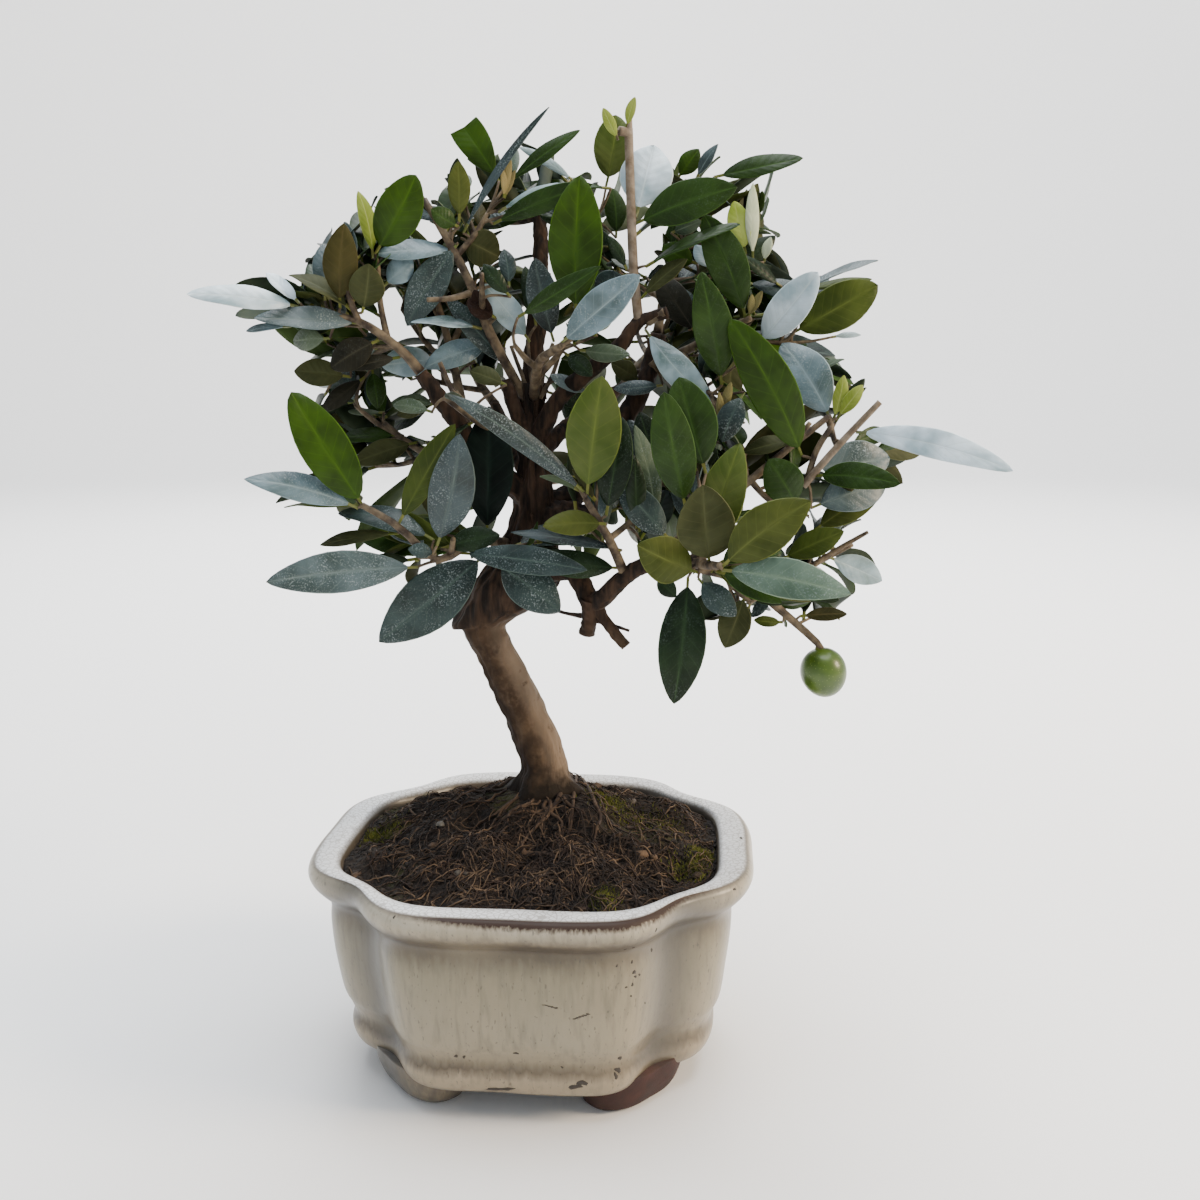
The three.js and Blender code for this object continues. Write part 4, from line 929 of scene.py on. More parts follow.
def walk(start, steps):  # path from a start through steps of heading, rise and length
    moves = [towards(heading, rise) * length for heading, rise, length in steps]
    return np.asarray(start, float) + np.concatenate([[np.zeros(3)], np.cumsum(moves, 0)])


def pathLength(path):
    return np.linalg.norm(np.diff(path, axis=0), axis=1).sum()


def along(path, share):  # point and direction at a share of the path's length
    sizes = np.linalg.norm(np.diff(path, axis=0), axis=1)
    left = share * sizes.sum()
    for i, size in enumerate(sizes):
        if left <= size or i == len(sizes) - 1:
            direction = (path[i + 1] - path[i]) / size
            return path[i] + direction * left, direction
        left -= size


def twigsOf(start, steps, pairs, turn, leaf, bare, shoots):
    # the stem, then each shoot curving up to the light
    stem = walk(start, steps)
    twigs = [(stem, growth["stemRadius"], pairs, turn, leaf, bare)]
    for share, heading, rise, length, shootPairs, shootTurn, shootLeaf in shoots:
        half = growth["lift"] / 2
        bends = [(heading, rise - half, length / 2),
                 (heading, min(rise + half, growth["steepest"]), length / 2)]
        path = walk(along(stem, share)[0], bends)
        twigs.append((path, growth["shootRadius"], shootPairs, shootTurn, shootLeaf, 0))
    return twigs


def drawsFrom(seed):  # numbers from -1 to 1, the same ones each run, by Lehmer's rule
    factor, prime = 16807, 2147483647
    state = seed
    while True:
        state = state * factor % prime
        yield 2 * state / prime - 1


def squareTo(direction, turn):  # unit vector square to a twig's direction, turned round it from level
    level = unit(np.cross(direction, [0, 0, 1]))
    upright = np.cross(level, direction)
    return level * np.cos(np.radians(turn)) + upright * np.sin(np.radians(turn))


def leafFrame(root, direction, turn, spread, length):
    # root, tip and face of a leaf that leaves its twig's direction at an angle, turned round it
    out = squareTo(direction, turn)
    way = direction * np.cos(np.radians(spread)) + out * np.sin(np.radians(spread))
    face = direction * growth["faceShoot"] + np.array([0, 0, growth["faceSky"]])
    face = unit(face - (face @ way) * way)
    tip = root + way * length - face * length * growth["droop"]
    return root, tip, face


def leafProbes(root, tip, face, width):  # points of a leaf that are tested against what is already there
    middle = (root + tip) / 2
    across = unit(np.cross(tip - root, face)) * width / 2
    near, far = root + (tip - root) * 0.3, root + (tip - root) * 0.72
    return np.array([near, middle, far, tip, near + across, near - across, far + across, far - across])


grown = {name: twigsOf(*mass) for name, mass in masses.items()}
for (name, number), share in growth["trimmed"].items():
    path, *rest = grown[name][number]
    grown[name][number] = (np.array([along(path, share * part)[0] for part in np.linspace(0, 1, 6)]), *rest)
twigSamples = {}
for name, twigs in grown.items():
    places = []
    for path, *rest in twigs:
        count = int(np.ceil(pathLength(path) / growth["twigSample"]))
        places += [along(path, k / count)[0] for k in range(count + 1)]
    twigSamples[name] = np.array(places)
trunkRings = np.array(wood["trunk"])[1:]
limbCentres = np.concatenate([trunkRings[:, [1, 2, 0]], limbLines[:, ::5].reshape(-1, 3)])
limbRooms = np.concatenate([trunkRings[:, 3:].max(1), limbRadii[:, ::5].reshape(-1)])


def gapTo(probes, centres):  # least distance from each probe to any of the centres
    return np.sqrt(((probes[:, None] - centres[None]) ** 2).sum(-1)).min(1)


def fits(probes, name, filled):  # the leaf keeps to its own space, off the limbs and off other leaves
    if probes[:, 2].min() < growth["lowest"]:
        return False
    if len(filled) and gapTo(probes, np.concatenate(filled)).min() < growth["leafGap"]:
        return False
    away = np.sqrt(((probes[:, None] - limbCentres[None]) ** 2).sum(-1))
    if (away < limbRooms + growth["limbMargin"]).any():
        return False
    own = gapTo(probes, twigSamples[name]) + growth["spaceMargin"]
    return all((gapTo(probes, samples) > own).all() for mass, samples in twigSamples.items() if mass != name)


def leavesOf(name, number, filled):
    # opposite pairs, each a quarter turn from the last, counted back from the twig's tip
    draw = drawsFrom(growth["seedStep"] * (number + 1))
    leaves = []
    for path, radius, pairs, turn, leaf, bare in grown[name]:
        length = pathLength(path)
        spacing = min(growth["pairSpacing"], growth["leafySpan"] * (length - bare) / max(pairs - 0.5, 1))
        for pair in range(pairs):
            fromTip = pairs - 1 - pair
            root, direction = along(path, 1 - (bare + fromTip * spacing + growth["tipSetback"]) / length)
            for side in (0, 180):
                a, b, c, d = (next(draw) for k in range(4))
                size = leaf * (1 + growth["sizeJitter"] * a) * (growth["tipSize"] if fromTip == 0 else 1)
                width = size * (growth["widthShare"] + growth["widthJitter"] * b)
                spread = growth["tipSpread" if fromTip == 0 else "spread"] + growth["spreadJitter"] * c
                facing = turn + 90 * pair + side + growth["turnJitter"] * d
                tries = ((share, shift) for share in growth["sizes"] for shift in growth["turns"])
                for share, shift in tries:
                    shape = leafFrame(root, direction, facing + shift, spread, size * share)
                    probes = leafProbes(*shape, width * share)
                    if behindPlaced(probes) and fits(probes, name, filled):
                        leaves.append((*shape, width * share, ""))
                        filled.append(probes)
                        break
    return leaves


# Leaves with a known place, by the mass whose twigs carry them. Each has the image column and row of its
# root and of its tip, then its width and its lean towards the viewer in millimetres, the degrees that its
# upper side is rolled up from facing the viewer, and its tone
placedLeaves = {
    "far_left": {
        "palePointed": (300, 307, 187, 294, 8, 14, 30, "pale"),
        "dustyLong": (362, 323, 254, 318, 9, 9, 38, "dusty"),
        "paleShort": (300, 303, 266, 273, 6, 2, 45, "pale"),
        "dustyUpper": (354, 312, 289, 275, 8, 3, 50, "umber"),
        "wormEaten": (340, 308, 344, 223, 10.8, 4, 4, "brown"),
        "blueBehind": (325, 301, 323, 244, 7.5, -6, 15, "dusty"),
        "blueEdge": (330, 300, 309, 264, 6, -7, 20, "sage"),
        "matteSmall": (362, 313, 369, 264, 11.2, 5, 4, "umber"),
        "brightNarrow": (373, 259, 358, 191, 5.6, -2, 15, "bud"),
        "brightBig": (375, 254, 416, 175, 14, 1, 4, "vivid"),
        "whitish": (384, 286, 413, 260, 8.2, -3, 8, "steel"),
        "paleOval": (330, 338, 293, 341, 7.4, -9, 10, "sage"),
        "paleThin": (290, 326, 246, 331, 3.4, -9, 40, "steel"),
        "brownBroad": (379, 340, 331, 368, 10, 1, 5, "shade"),
        "brownThin": (400, 357, 349, 368, 5, 3, 20, "shade"),
        "darkOval": (351, 377, 294, 371, 9.2, 2, 6, "umber"),
    },
    "upper_left": {
        "greenBehind": (413, 293, 424, 255, 6.5, -2, 5, "vivid"),
        "silverPairLeft": (438, 358, 381, 365, 10.2, 9, 12, "silver"),
        "greyUnder": (431, 399, 397, 415, 6, -3, 10, "umber"),
        "greySmall": (436, 405, 399, 401, 5, -5, 20, "sage"),
        "oliveShade": (475, 362, 441, 352, 7, -8, 20, "umber"),
    },
    "mid_left": {
        "darkPoint": (366, 376, 321, 412, 6.4, 4, 20, "shade"),
        "darkDown": (372, 368, 378, 409, 6.5, 2, 12, "deep"),
        "thinBack": (384, 412, 348, 411, 3, -6, 40, "sage"),
        "darkUpper": (400, 435, 340, 438, 7.6, 1, 45, "deep"),
        "brownUnder": (418, 442, 354, 463, 8.4, 5, 12, "umber"),
    },
    "low_left": {
        "brightBroad": (364, 507, 291, 392, 15, 4, 4, "vivid"),
        "paleLow": (358, 508, 244, 479, 9.4, 8, 22, "steel"),
        "oliveNarrow": (399, 523, 455, 424, 9.4, 6, 14, "moss"),
        "greyDusty": (437, 546, 460, 434, 14, 9, 4, "slate"),
        "darkBroad": (487, 535, 489, 406, 16.4, -4, 3, "ink"),
        "dustyUnderTwig": (434, 540, 338, 513, 9, -6, 35, "night"),
        "oliveThin": (398, 533, 320, 545, 5.4, -9, 35, "umber"),
        "notched": (418, 567, 266, 582, 13, 12, 6, "dusty"),
        "darkLow": (485, 555, 379, 642, 18, 12, 3, "night"),
        "darkBehind": (441, 549, 500, 535, 8, -5, 10, "dark"),
        "darkSmall": (436, 553, 408, 549, 5, 3, 10, "night"),
        "dustyAcross": (461, 553, 587, 570, 9.4, 11, 16, "night"),
        "darkHanging": (494, 563, 560, 612, 14, 5, 3, "night"),
    },
    "front_left": {
        "shadeBack": (506, 385, 470, 371, 6, -4, 15, "umber"),
        "paleBack": (432, 412, 393, 405, 5, -8, 15, "sage"),
    },
    "top_left": {
        "silverAcross": (458, 250, 376, 254, 8.6, 6, 42, "steel"),
        "darkSlope": (458, 243, 407, 326, 11.6, 1, 8, "night"),
        "silverThin": (482, 328, 411, 322, 6.6, 9, 60, "silver"),
        "silverPairRight": (493, 344, 424, 368, 9, 10, 14, "steel"),
        "brownGreen": (459, 222, 458, 161, 7.2, 2, 4, "olive"),
        "cutSquare": (499, 181, 464, 127, 10.6, -3, 4, "vivid"),
        "bladeThin": (463, 233, 549, 107, 3.4, 6, 40, "slate"),
        "smallSage": (459, 227, 431, 209, 6.4, 5, 14, "deep"),
        "oliveRound": (461, 238, 499, 257, 12, -4, 6, "umber"),
        "darkNarrow": (511, 297, 483, 264, 5.4, 1, 10, "dark"),
        "dustyNarrow": (509, 287, 504, 249, 5.6, -3, 10, "night"),
        "longDark": (509, 368, 446, 297, 8, 8, 12, "night"),
        "curledDead": (496, 318, 467, 301, 8, 4, 30, "dead"),
        "curledDeadToo": (493, 316, 474, 290, 6, 5, -30, "dead"),
        "backBrown": (482, 232, 479, 202, 4.6, -6, 20, "brown"),
        "greenLower": (493, 224, 592, 184, 7.6, 4, 14, "deep"),
        "silverStrip": (498, 212, 560, 183, 4, 1, 45, "silver"),
        "sageHigh": (507, 184, 580, 130, 5.4, -2, 30, "deep"),
        "bractOne": (504, 198, 511, 160, 2.6, 1, 0, "bract"),
        "bractTwo": (504, 198, 502, 168, 2.2, 2, 20, "bract"),
        "bractThree": (504, 198, 515, 170, 2.2, 0, 20, "bract"),
    },
    "front_top": {
        "brightLarge": (576, 314, 580, 175, 17, 3, 3, "vivid"),
        "silverBig": (560, 344, 640, 275, 11, 11, 12, "steel"),
        "greyUpright": (554, 342, 535, 258, 10.4, 3, 6, "slate"),
        "darkUpright": (536, 326, 525, 266, 6, -5, 8, "dark"),
        "silverMiddle": (530, 342, 484, 284, 9, 9, 8, "silver"),
        "greenAcross": (518, 317, 601, 266, 6.6, 13, 25, "deep"),
        "sageSmall": (580, 350, 630, 355, 6, 8, 14, "sage"),
        "nightSmall": (565, 353, 592, 376, 6, 4, 10, "dark"),
        "dustySmall": (590, 393, 550, 375, 5.6, 3, 35, "dusty"),
        "darkInner": (548, 392, 584, 404, 6, -6, 15, "dark"),
    },
    "leader_top": {
        "greenHigh": (606, 186, 616, 115, 14, -2, 4, "fresh"),
        "darkHigh": (616, 238, 612, 188, 8, -2, 8, "deep"),
        "greenArch": (611, 188, 490, 192, 6.2, 4, 50, "deep"),
        "silverHigh": (576, 183, 519, 147, 3.6, 2, 20, "silver"),
    },
    "elbow_top": {
        "greenLevel": (635, 224, 737, 187, 13.2, 7, 20, "deep"),
        "silverBroad": (636, 217, 654, 145, 17, -7, 8, "pale"),
        "longArch": (645, 266, 740, 224, 6.4, 5, 60, "deep"),
        "oliveSlant": (641, 298, 687, 259, 6.4, 4, 38, "umber"),
        "darkThin": (627, 270, 606, 235, 4, 1, 10, "dark"),
        "darkBlue": (627, 274, 595, 293, 8.4, -3, 12, "night"),
        "blueSlope": (645, 329, 714, 406, 9.6, 8, 8, "silver"),
        "budLeft": (618, 140, 603, 108, 3.6, 1, 0, "bud"),
        "budRight": (627, 128, 635, 97, 3.2, 1, 10, "bud"),
    },
    "right_top": {
        "greenBack": (677, 179, 699, 149, 7, 0, 6, "vivid"),
        "dustyEdge": (696, 179, 718, 144, 5, 2, 40, "dusty"),
        "farTip": (714, 177, 803, 158, 8, 1, 34, "deep"),
        "limeUpright": (746, 254, 734, 201, 8, 0, 4, "lime"),
        "paleUpright": (753, 261, 753, 183, 4.8, 0, 10, "cream"),
        "paleLittle": (764, 262, 771, 237, 3.4, 0, 10, "cream"),
        "greySmall": (671, 233, 701, 221, 5.6, 2, 12, "sage"),
        "silverSmall": (709, 270, 695, 245, 5.4, 0, 10, "silver"),
        "greenDeep": (697, 264, 662, 247, 8, -2, 6, "vivid"),
        "darkPoint": (782, 287, 742, 256, 5, 3, 40, "dark"),
        "greenInner": (670, 258, 700, 232, 8, -8, 6, "vivid"),
    },
    "right_mid": {
        "greenTall": (722, 385, 701, 272, 12.2, 8, 5, "deep"),
        "darkTall": (746, 318, 704, 214, 12.6, 2, 3, "deep"),
        "silverTall": (757, 345, 818, 272, 12, 6, 5, "pale"),
        "oliveWide": (791, 334, 878, 285, 14.6, -4, 4, "moss"),
        "edgeThin": (800, 291, 878, 260, 5.6, 1, 66, "dusty"),
        "edgePale": (800, 290, 872, 279, 4, -3, 40, "moss"),
        "bitFar": (832, 337, 861, 335, 2.4, -2, 30, "silver"),
        "thinRising": (784, 385, 844, 359, 5, 9, 58, "sage"),
        "nightDown": (744, 392, 722, 442, 8.4, 4, 8, "night"),
        "shadeWide": (698, 336, 658, 275, 10, -7, 4, "shade"),
        "shadeSmall": (641, 382, 611, 363, 7, 1, 10, "umber"),
        "dustyLevel": (663, 385, 614, 389, 5.4, 4, 20, "dusty"),
        "budBrown": (722, 415, 731, 382, 3, 2, 0, "rust"),
        "budBrownToo": (719, 424, 719, 392, 2.6, 2, 20, "rust"),
        "rustOne": (746, 318, 762, 291, 2.8, 2, 10, "rust"),
        "rustTwo": (749, 317, 752, 294, 2.4, 2, -20, "rust"),
    },
    "far_right": {
        "budOne": (833, 420, 844, 375, 4.6, 1, 4, "bud"),
        "budTwo": (837, 418, 863, 385, 4.8, 1, 8, "bud"),
        "greenLongest": (802, 456, 730, 319, 14.6, 9, 3, "vivid"),
        "blueUpper": (831, 421, 782, 343, 14.6, -9, 8, "steel"),
        "paleFar": (856, 432, 1013, 471, 9.2, 12, 16, "pale"),
        "folded": (814, 476, 900, 484, 8.6, 13, 16, "deep"),
        "dustyTop": (812, 468, 890, 458, 14, -8, 8, "dusty"),
        "dustyLow": (811, 508, 886, 484, 13, -9, 8, "dusty"),
        "mossInner": (798, 508, 769, 459, 12.4, 3, 3, "deep"),
        "sageStrip": (800, 437, 743, 452, 6.4, -2, 34, "umber"),
        "nightCentre": (671, 541, 619, 483, 10.4, 0, 5, "night"),
    },
    "whorl": {
        "left": (699, 573, 637, 545, 14, 12, 4, "olive"),
        "middle": (710, 566, 703, 485, 17, 9, 3, "umber"),
        "bright": (705, 561, 740, 443, 13.6, -2, 3, "fresh"),
        "right": (722, 567, 811, 501, 13.8, 7, 3, "olive"),
        "light": (722, 570, 851, 594, 11.2, 13, 10, "mint"),
        "darkUnder": (716, 571, 782, 603, 7.6, 8, 12, "deep"),
        "hanging": (688, 577, 674, 704, 14.2, 10, 3, "dark"),
        "nightSmall": (698, 578, 736, 616, 8.2, 5, 5, "night"),
        "darkBit": (655, 577, 676, 597, 5.4, 2, 8, "dark"),
        "pairLeft": (686, 509, 664, 392, 12.6, 4, 4, "deep"),
        "pairRight": (706, 474, 679, 377, 14.8, -2, 3, "deep"),
    },
    "olive_twig": {
        "oliveRising": (813, 531, 882, 488, 9.8, -2, 4, "olive"),
        "mossLevel": (780, 560, 844, 531, 8.8, 2, 4, "moss"),
        "umberDown": (746, 592, 725, 648, 10.2, 1, 4, "umber"),
        "smallLevel": (783, 622, 754, 620, 3.8, 2, 20, "moss"),
        "brownLevel": (800, 616, 847, 614, 4.8, 2, 20, "brown"),
        "paleBehind": (826, 556, 882, 581, 9, -6, 8, "silver"),
        "sageBehind": (786, 567, 834, 585, 6.4, -5, 12, "silver"),
        "nightBehind": (772, 598, 752, 617, 4, 0, 12, "night"),
    },
    "front_mid": {
        "brightCentre": (587, 494, 602, 376, 16.6, 5, 3, "fresh"),
        "darkCentre": (606, 516, 622, 417, 10.8, -3, 6, "dark"),
        "longSlope": (584, 492, 447, 394, 6.6, 12, 10, "slate"),
        "lightLevel": (607, 524, 543, 526, 8, 10, 16, "olive"),
        "sageLevel": (622, 550, 511, 532, 5.6, 5, 44, "slate"),
        "darkRight": (622, 568, 529, 557, 9, 4, 10, "dark"),
        "darkNarrow": (637, 530, 635, 457, 6.4, 3, 15, "dark"),
        "mintNarrow": (656, 524, 635, 425, 7, -2, 14, "sage"),
        "darkBack": (640, 540, 668, 490, 10, -8, 5, "ink"),
    },
    "inner_right": {
        "nightHollow": (650, 470, 628, 420, 9, -4, 8, "night"),
        "darkHollow": (660, 470, 640, 412, 9, -3, 10, "dark"),
    },
}
# Cut shoots and twig ends with a known place, by the mass that they grow on: image columns and rows from the
# root on, lean towards the viewer and both radii in millimetres
placedTwigs = {
    "paleShoot": ("far_right", [(803, 486), (838, 446), (880, 402)], 2, 1.35, 1.0),
    "darkShoot": ("far_right", [(806, 484), (816, 452), (831, 427)], -3, 1.1, 0.9),
    "barkEnd": ("olive_twig", [(812, 566), (840, 548), (868, 532)], -2, 1.1, 0.6),
    "fanOne": ("front_top", [(531, 398), (520, 370), (511, 346)], -4, 0.9, 0.6),
    "fanTwo": ("front_top", [(534, 396), (530, 368), (528, 344)], -2, 0.9, 0.6),
    "fanThree": ("front_top", [(538, 396), (545, 366), (553, 343)], 0, 1.0, 0.6),
    "fanFour": ("front_top", [(540, 398), (552, 376), (562, 346)], 2, 0.9, 0.6),
    "fanFive": ("top_left", [(527, 400), (512, 376), (496, 346)], 0, 0.9, 0.6),
    "elbowKnob": ("elbow_top", [(630, 136), (625, 132), (619, 131)], 2, 1.3, 1.5),
    "elbowStub": ("elbow_top", [(648, 322), (656, 317), (665, 312)], 3, 1.5, 1.4),
}


def placedTwigPath(mass, line, lean, steps=12):
    # it starts at the depth of the twig of its mass that shows nearest to its root, and leans out evenly
    samples = denseTwigs[mass][0]
    u, v = inView(samples)[:2]
    depth = samples[int(np.argmin(np.hypot(u - line[0][0], v - line[0][1])))][1]
    far = len(line) - 1
    return evenly([fromView(*place, depth - lean * k / far) for k, place in enumerate(line)], steps)


def twigletPath(start, forward, end, steps=8):  # a curve that leaves its twig forward and bends to its end
    t = np.linspace(0, 1, steps)[:, None]
    elbow = start + forward * np.linalg.norm(end - start) * 0.5
    return (1 - t) ** 2 * start + 2 * t * (1 - t) * elbow + t * t * end


def placedOf(name):
    # The root lies where it shows, at the depth of the twig of its mass that shows nearest to it; where it
    # shows off that twig, a twiglet leads to it. The tip is that depth less the lean.
    samples, ways = denseTwigs[name]
    u, v, scale = inView(samples)
    leaves, twiglets = [], []
    for rootU, rootV, tipU, tipV, width, lean, turn, tone in placedLeaves.get(name, {}).values():
        off = np.hypot(u - rootU, v - rootV) / scale
        nearest = int(np.argmin(off))
        depth = samples[nearest][1] - np.sign(lean) * 0.3 * off[nearest]
        root = fromView(rootU, rootV, depth)
        if off[nearest] > growth["snap"]:
            back = max(0, nearest - int(growth["holdBack"] * off[nearest]))
            same = back if np.linalg.norm(samples[back] - samples[nearest]) < 2 * off[nearest] else nearest
            twiglets.append(twigletPath(samples[same], ways[same], root))
        tip = fromView(tipU, tipV, depth - lean)
        chord = unit(tip - root)
        toViewer = eye - (root + tip) / 2
        facing = unit(toViewer - (toViewer @ chord) * chord)
        sideways = np.cross(chord, facing)
        sideways = sideways if sideways[2] > 0 else -sideways
        roll = np.radians(turn)
        leaves.append((root, tip, facing * np.cos(roll) + sideways * np.sin(roll), width, tone))
    return leaves, twiglets


# The blade: rows along it, stalk in millimetres; spans of arch and sideways bow by its length, of the angle
# between its halves and of how full it is; the point at which a cut one stops
blade = {
    "rows": 14, "petiole": 3.2, "arch": (0.02, 0.09), "bow": (-0.035, 0.035), "fold": (0.03, 0.3),
    "full": (0.58, 0.74), "archWidth": 8, "twist": 0.22, "wave": 0.07, "cut": 0.62,
    # a closed section of nine points: margins, two half blades, midrib, hollow underside
    "columns": (-1, -0.95, -0.03, 0.03, 0.95, 1, 0.5, 0, -0.5),
    "rise": (1, 0.96, 0, 0, 0.96, 1, 0.45, 0, 0.45),
    "under": (0.6, 0, 0.15, 0.15, 0, 0.6, 1.1, 1.9, 1.1),
    # material of each strip of the section: 0 upper side, 1 margin, 2 midrib, 3 underside, 4 stalk
    "strips": (1, 0, 2, 0, 1, 3, 3, 3, 3), "stalk": 4,
}


def bladePoints(root, tip, face, width, cut, seed):
    # The section is carried along an arch from root to tip. Half width is a power of a sine of the way along,
    # and the arch and the sideways bow are parabolas. A cut blade stops at its share of the way.
    draw = np.random.default_rng(seed)
    count = len(root)
    length = np.linalg.norm(tip - root, axis=-1)
    chord = unit(tip - root)
    face = unit(face - (face * chord).sum(-1, keepdims=True) * chord)
    across = np.cross(chord, face)
    arch, bow, fold, full = (draw.uniform(*blade[key], (count, 1)) for key in ("arch", "bow", "fold", "full"))
    arch = arch * np.clip(width / blade["archWidth"], 0.2, 1)[:, None]
    stalk = np.clip(blade["petiole"] / length, 0.05, 0.14)[:, None]
    way = np.linspace(0, 1, blade["rows"])[None]
    way = 0.4 * way + 0.6 * (1 - np.cos(np.pi * way)) / 2
    t = np.concatenate([0 * stalk, stalk * 0.6, stalk + (1 - stalk) * way], 1)
    done = np.clip((t - stalk) / (1 - stalk), 0, 1) * cut[:, None]
    half = width[:, None] / 2 * np.sin(np.pi * done ** 0.94) ** full
    half = np.maximum(half, np.where(done > 0.5, 0.1, 0.45))
    thick = np.where(done > 0, 0.2 + 0.25 * (1 - done), 0.5)
    columns, rise, under = (np.array(blade[key], float) for key in ("columns", "rise", "under"))
    bent = 4 * t * (1 - t) * length[:, None]
    middle = root[:, None] + (tip - root)[:, None] * t[..., None]
    middle = middle + face[:, None] * (bent * arch)[..., None] + across[:, None] * (bent * bow)[..., None]
    twist = draw.uniform(-blade["twist"], blade["twist"], (count, 1)) * (t - 0.5) * 2
    wavy = blade["wave"] * np.sin(t * draw.uniform(7, 14, (count, 1)) + draw.uniform(0, 6, (count, 1)))
    sideways = half[..., None] * columns
    lift = half[..., None] * (rise * fold[..., None] + columns * (twist + wavy)[..., None])
    lift = lift - thick[..., None] * under
    points = middle[:, :, None] + across[:, None, None] * sideways[..., None]
    points = points + face[:, None, None] * lift[..., None]
    ends = np.stack([middle[:, 0], middle[:, -1]], 1)
    values = {
        "along": np.concatenate([np.repeat(t, len(columns), 1), np.repeat([[0.0, 1.0]], count, 0)], 1),
        "across": np.concatenate([np.tile(columns, (count, t.shape[1])), np.zeros((count, 2))], 1),
    }
    return np.concatenate([points.reshape(count, -1, 3), ends], 1).reshape(-1, 3), values


def bladeSlots(count):  # material numbers of the faces, in the order in which tubeFaces makes them
    sides = len(blade["strips"])
    cells = np.tile(blade["strips"], (blade["rows"] + 1, 1))
    cells[:2] = blade["stalk"]
    ends = np.repeat([blade["stalk"], 1], sides)
    return np.concatenate([np.tile(cells.ravel(), count), np.tile(ends, count)])


# Leaf tones: upper side, its cloudy patches, margin and midrib, underside; roughness, dust, mirror
tones = {
    # vivid and fresh are painted backlight: their bright greens stand in for light shining through the leaf
    "vivid": ("#203305", "#2d460a", "#3a570f", "#304018", 0.42, 0.0, 0.15),
    "fresh": ("#3a4918", "#4d5828", "#5d6b2a", "#454f22", 0.45, 0.0, 0.15),
    "olive": ("#343c12", "#484f20", "#585f2b", "#484a26", 0.5, 0.0, 0.15),
    "moss": ("#2b370a", "#3c4813", "#4c5621", "#3a3d1e", 0.5, 0.0, 0.16),
    "umber": ("#2d3119", "#404328", "#4d4f30", "#393924", 0.6, 0.0, 0.12),
    "brown": ("#2a2910", "#3d391c", "#4a4226", "#3a341d", 0.6, 0.0, 0.12),
    "deep": ("#1a2c08", "#263c11", "#35501d", "#31401e", 0.4, 0.05, 0.18),
    "dark": ("#0d1b0a", "#1c2c17", "#2b3f24", "#252f1c", 0.38, 0.12, 0.2),
    "shade": ("#191911", "#29281f", "#38362a", "#272517", 0.6, 0.05, 0.12),
    "ink": ("#060c0a", "#0e1814", "#18261f", "#171f18", 0.42, 0.0, 0.08),
    "night": ("#1b2724", "#31403e", "#47574f", "#3c4536", 0.4, 0.55, 0.34),
    "slate": ("#202a28", "#364345", "#4e5c55", "#3e4738", 0.42, 0.5, 0.34),
    "dusty": ("#2f3d3b", "#4e5d5f", "#65736e", "#4b5545", 0.42, 0.65, 0.42),
    "sage": ("#30402a", "#4f5c45", "#66735b", "#46513b", 0.46, 0.3, 0.38),
    "mint": ("#3c5040", "#5d7161", "#74876c", "#515f42", 0.45, 0.3, 0.38),
    # steel and silver are partly painted sky sheen and pale is mostly painted sky sheen: their pale upper
    # sides and patches stand in for the sky mirrored in the wax
    "steel": ("#3f5152", "#6c828a", "#7b8c8c", "#5a6657", 0.38, 0.5, 0.5),
    "silver": ("#536966", "#9cb2ba", "#8d9e9b", "#65715f", 0.34, 0.5, 0.7),
    "pale": ("#8aa2ab", "#d2e3ec", "#a9b9bb", "#7f8b83", 0.34, 0.3, 0.8),
    "bract": ("#6c6038", "#8b7e52", "#867b50", "#6f6848", 0.6, 0.0, 0.15),
    "cream": ("#9dab86", "#c6cfae", "#bcc4a0", "#9aa282", 0.55, 0.0, 0.3),
    "lime": ("#8b9e35", "#abb95c", "#a9b45e", "#84903a", 0.5, 0.0, 0.2),
    "bud": ("#76862d", "#98a352", "#9ba45a", "#77832f", 0.5, 0.0, 0.2),
    "rust": ("#5d5836", "#777146", "#716a48", "#4a4229", 0.6, 0.0, 0.2),
    "dead": ("#1b120e", "#2b1e18", "#2c201b", "#261b17", 0.85, 0.05, 0.1),
}
# How often each tone comes up among the leaves that fill the crown behind and between the placed ones
fillTones = {"deep": 0.2, "dark": 0.26, "moss": 0.1, "umber": 0.12, "night": 0.14, "dusty": 0.08,
             "sage": 0.06, "vivid": 0.04}


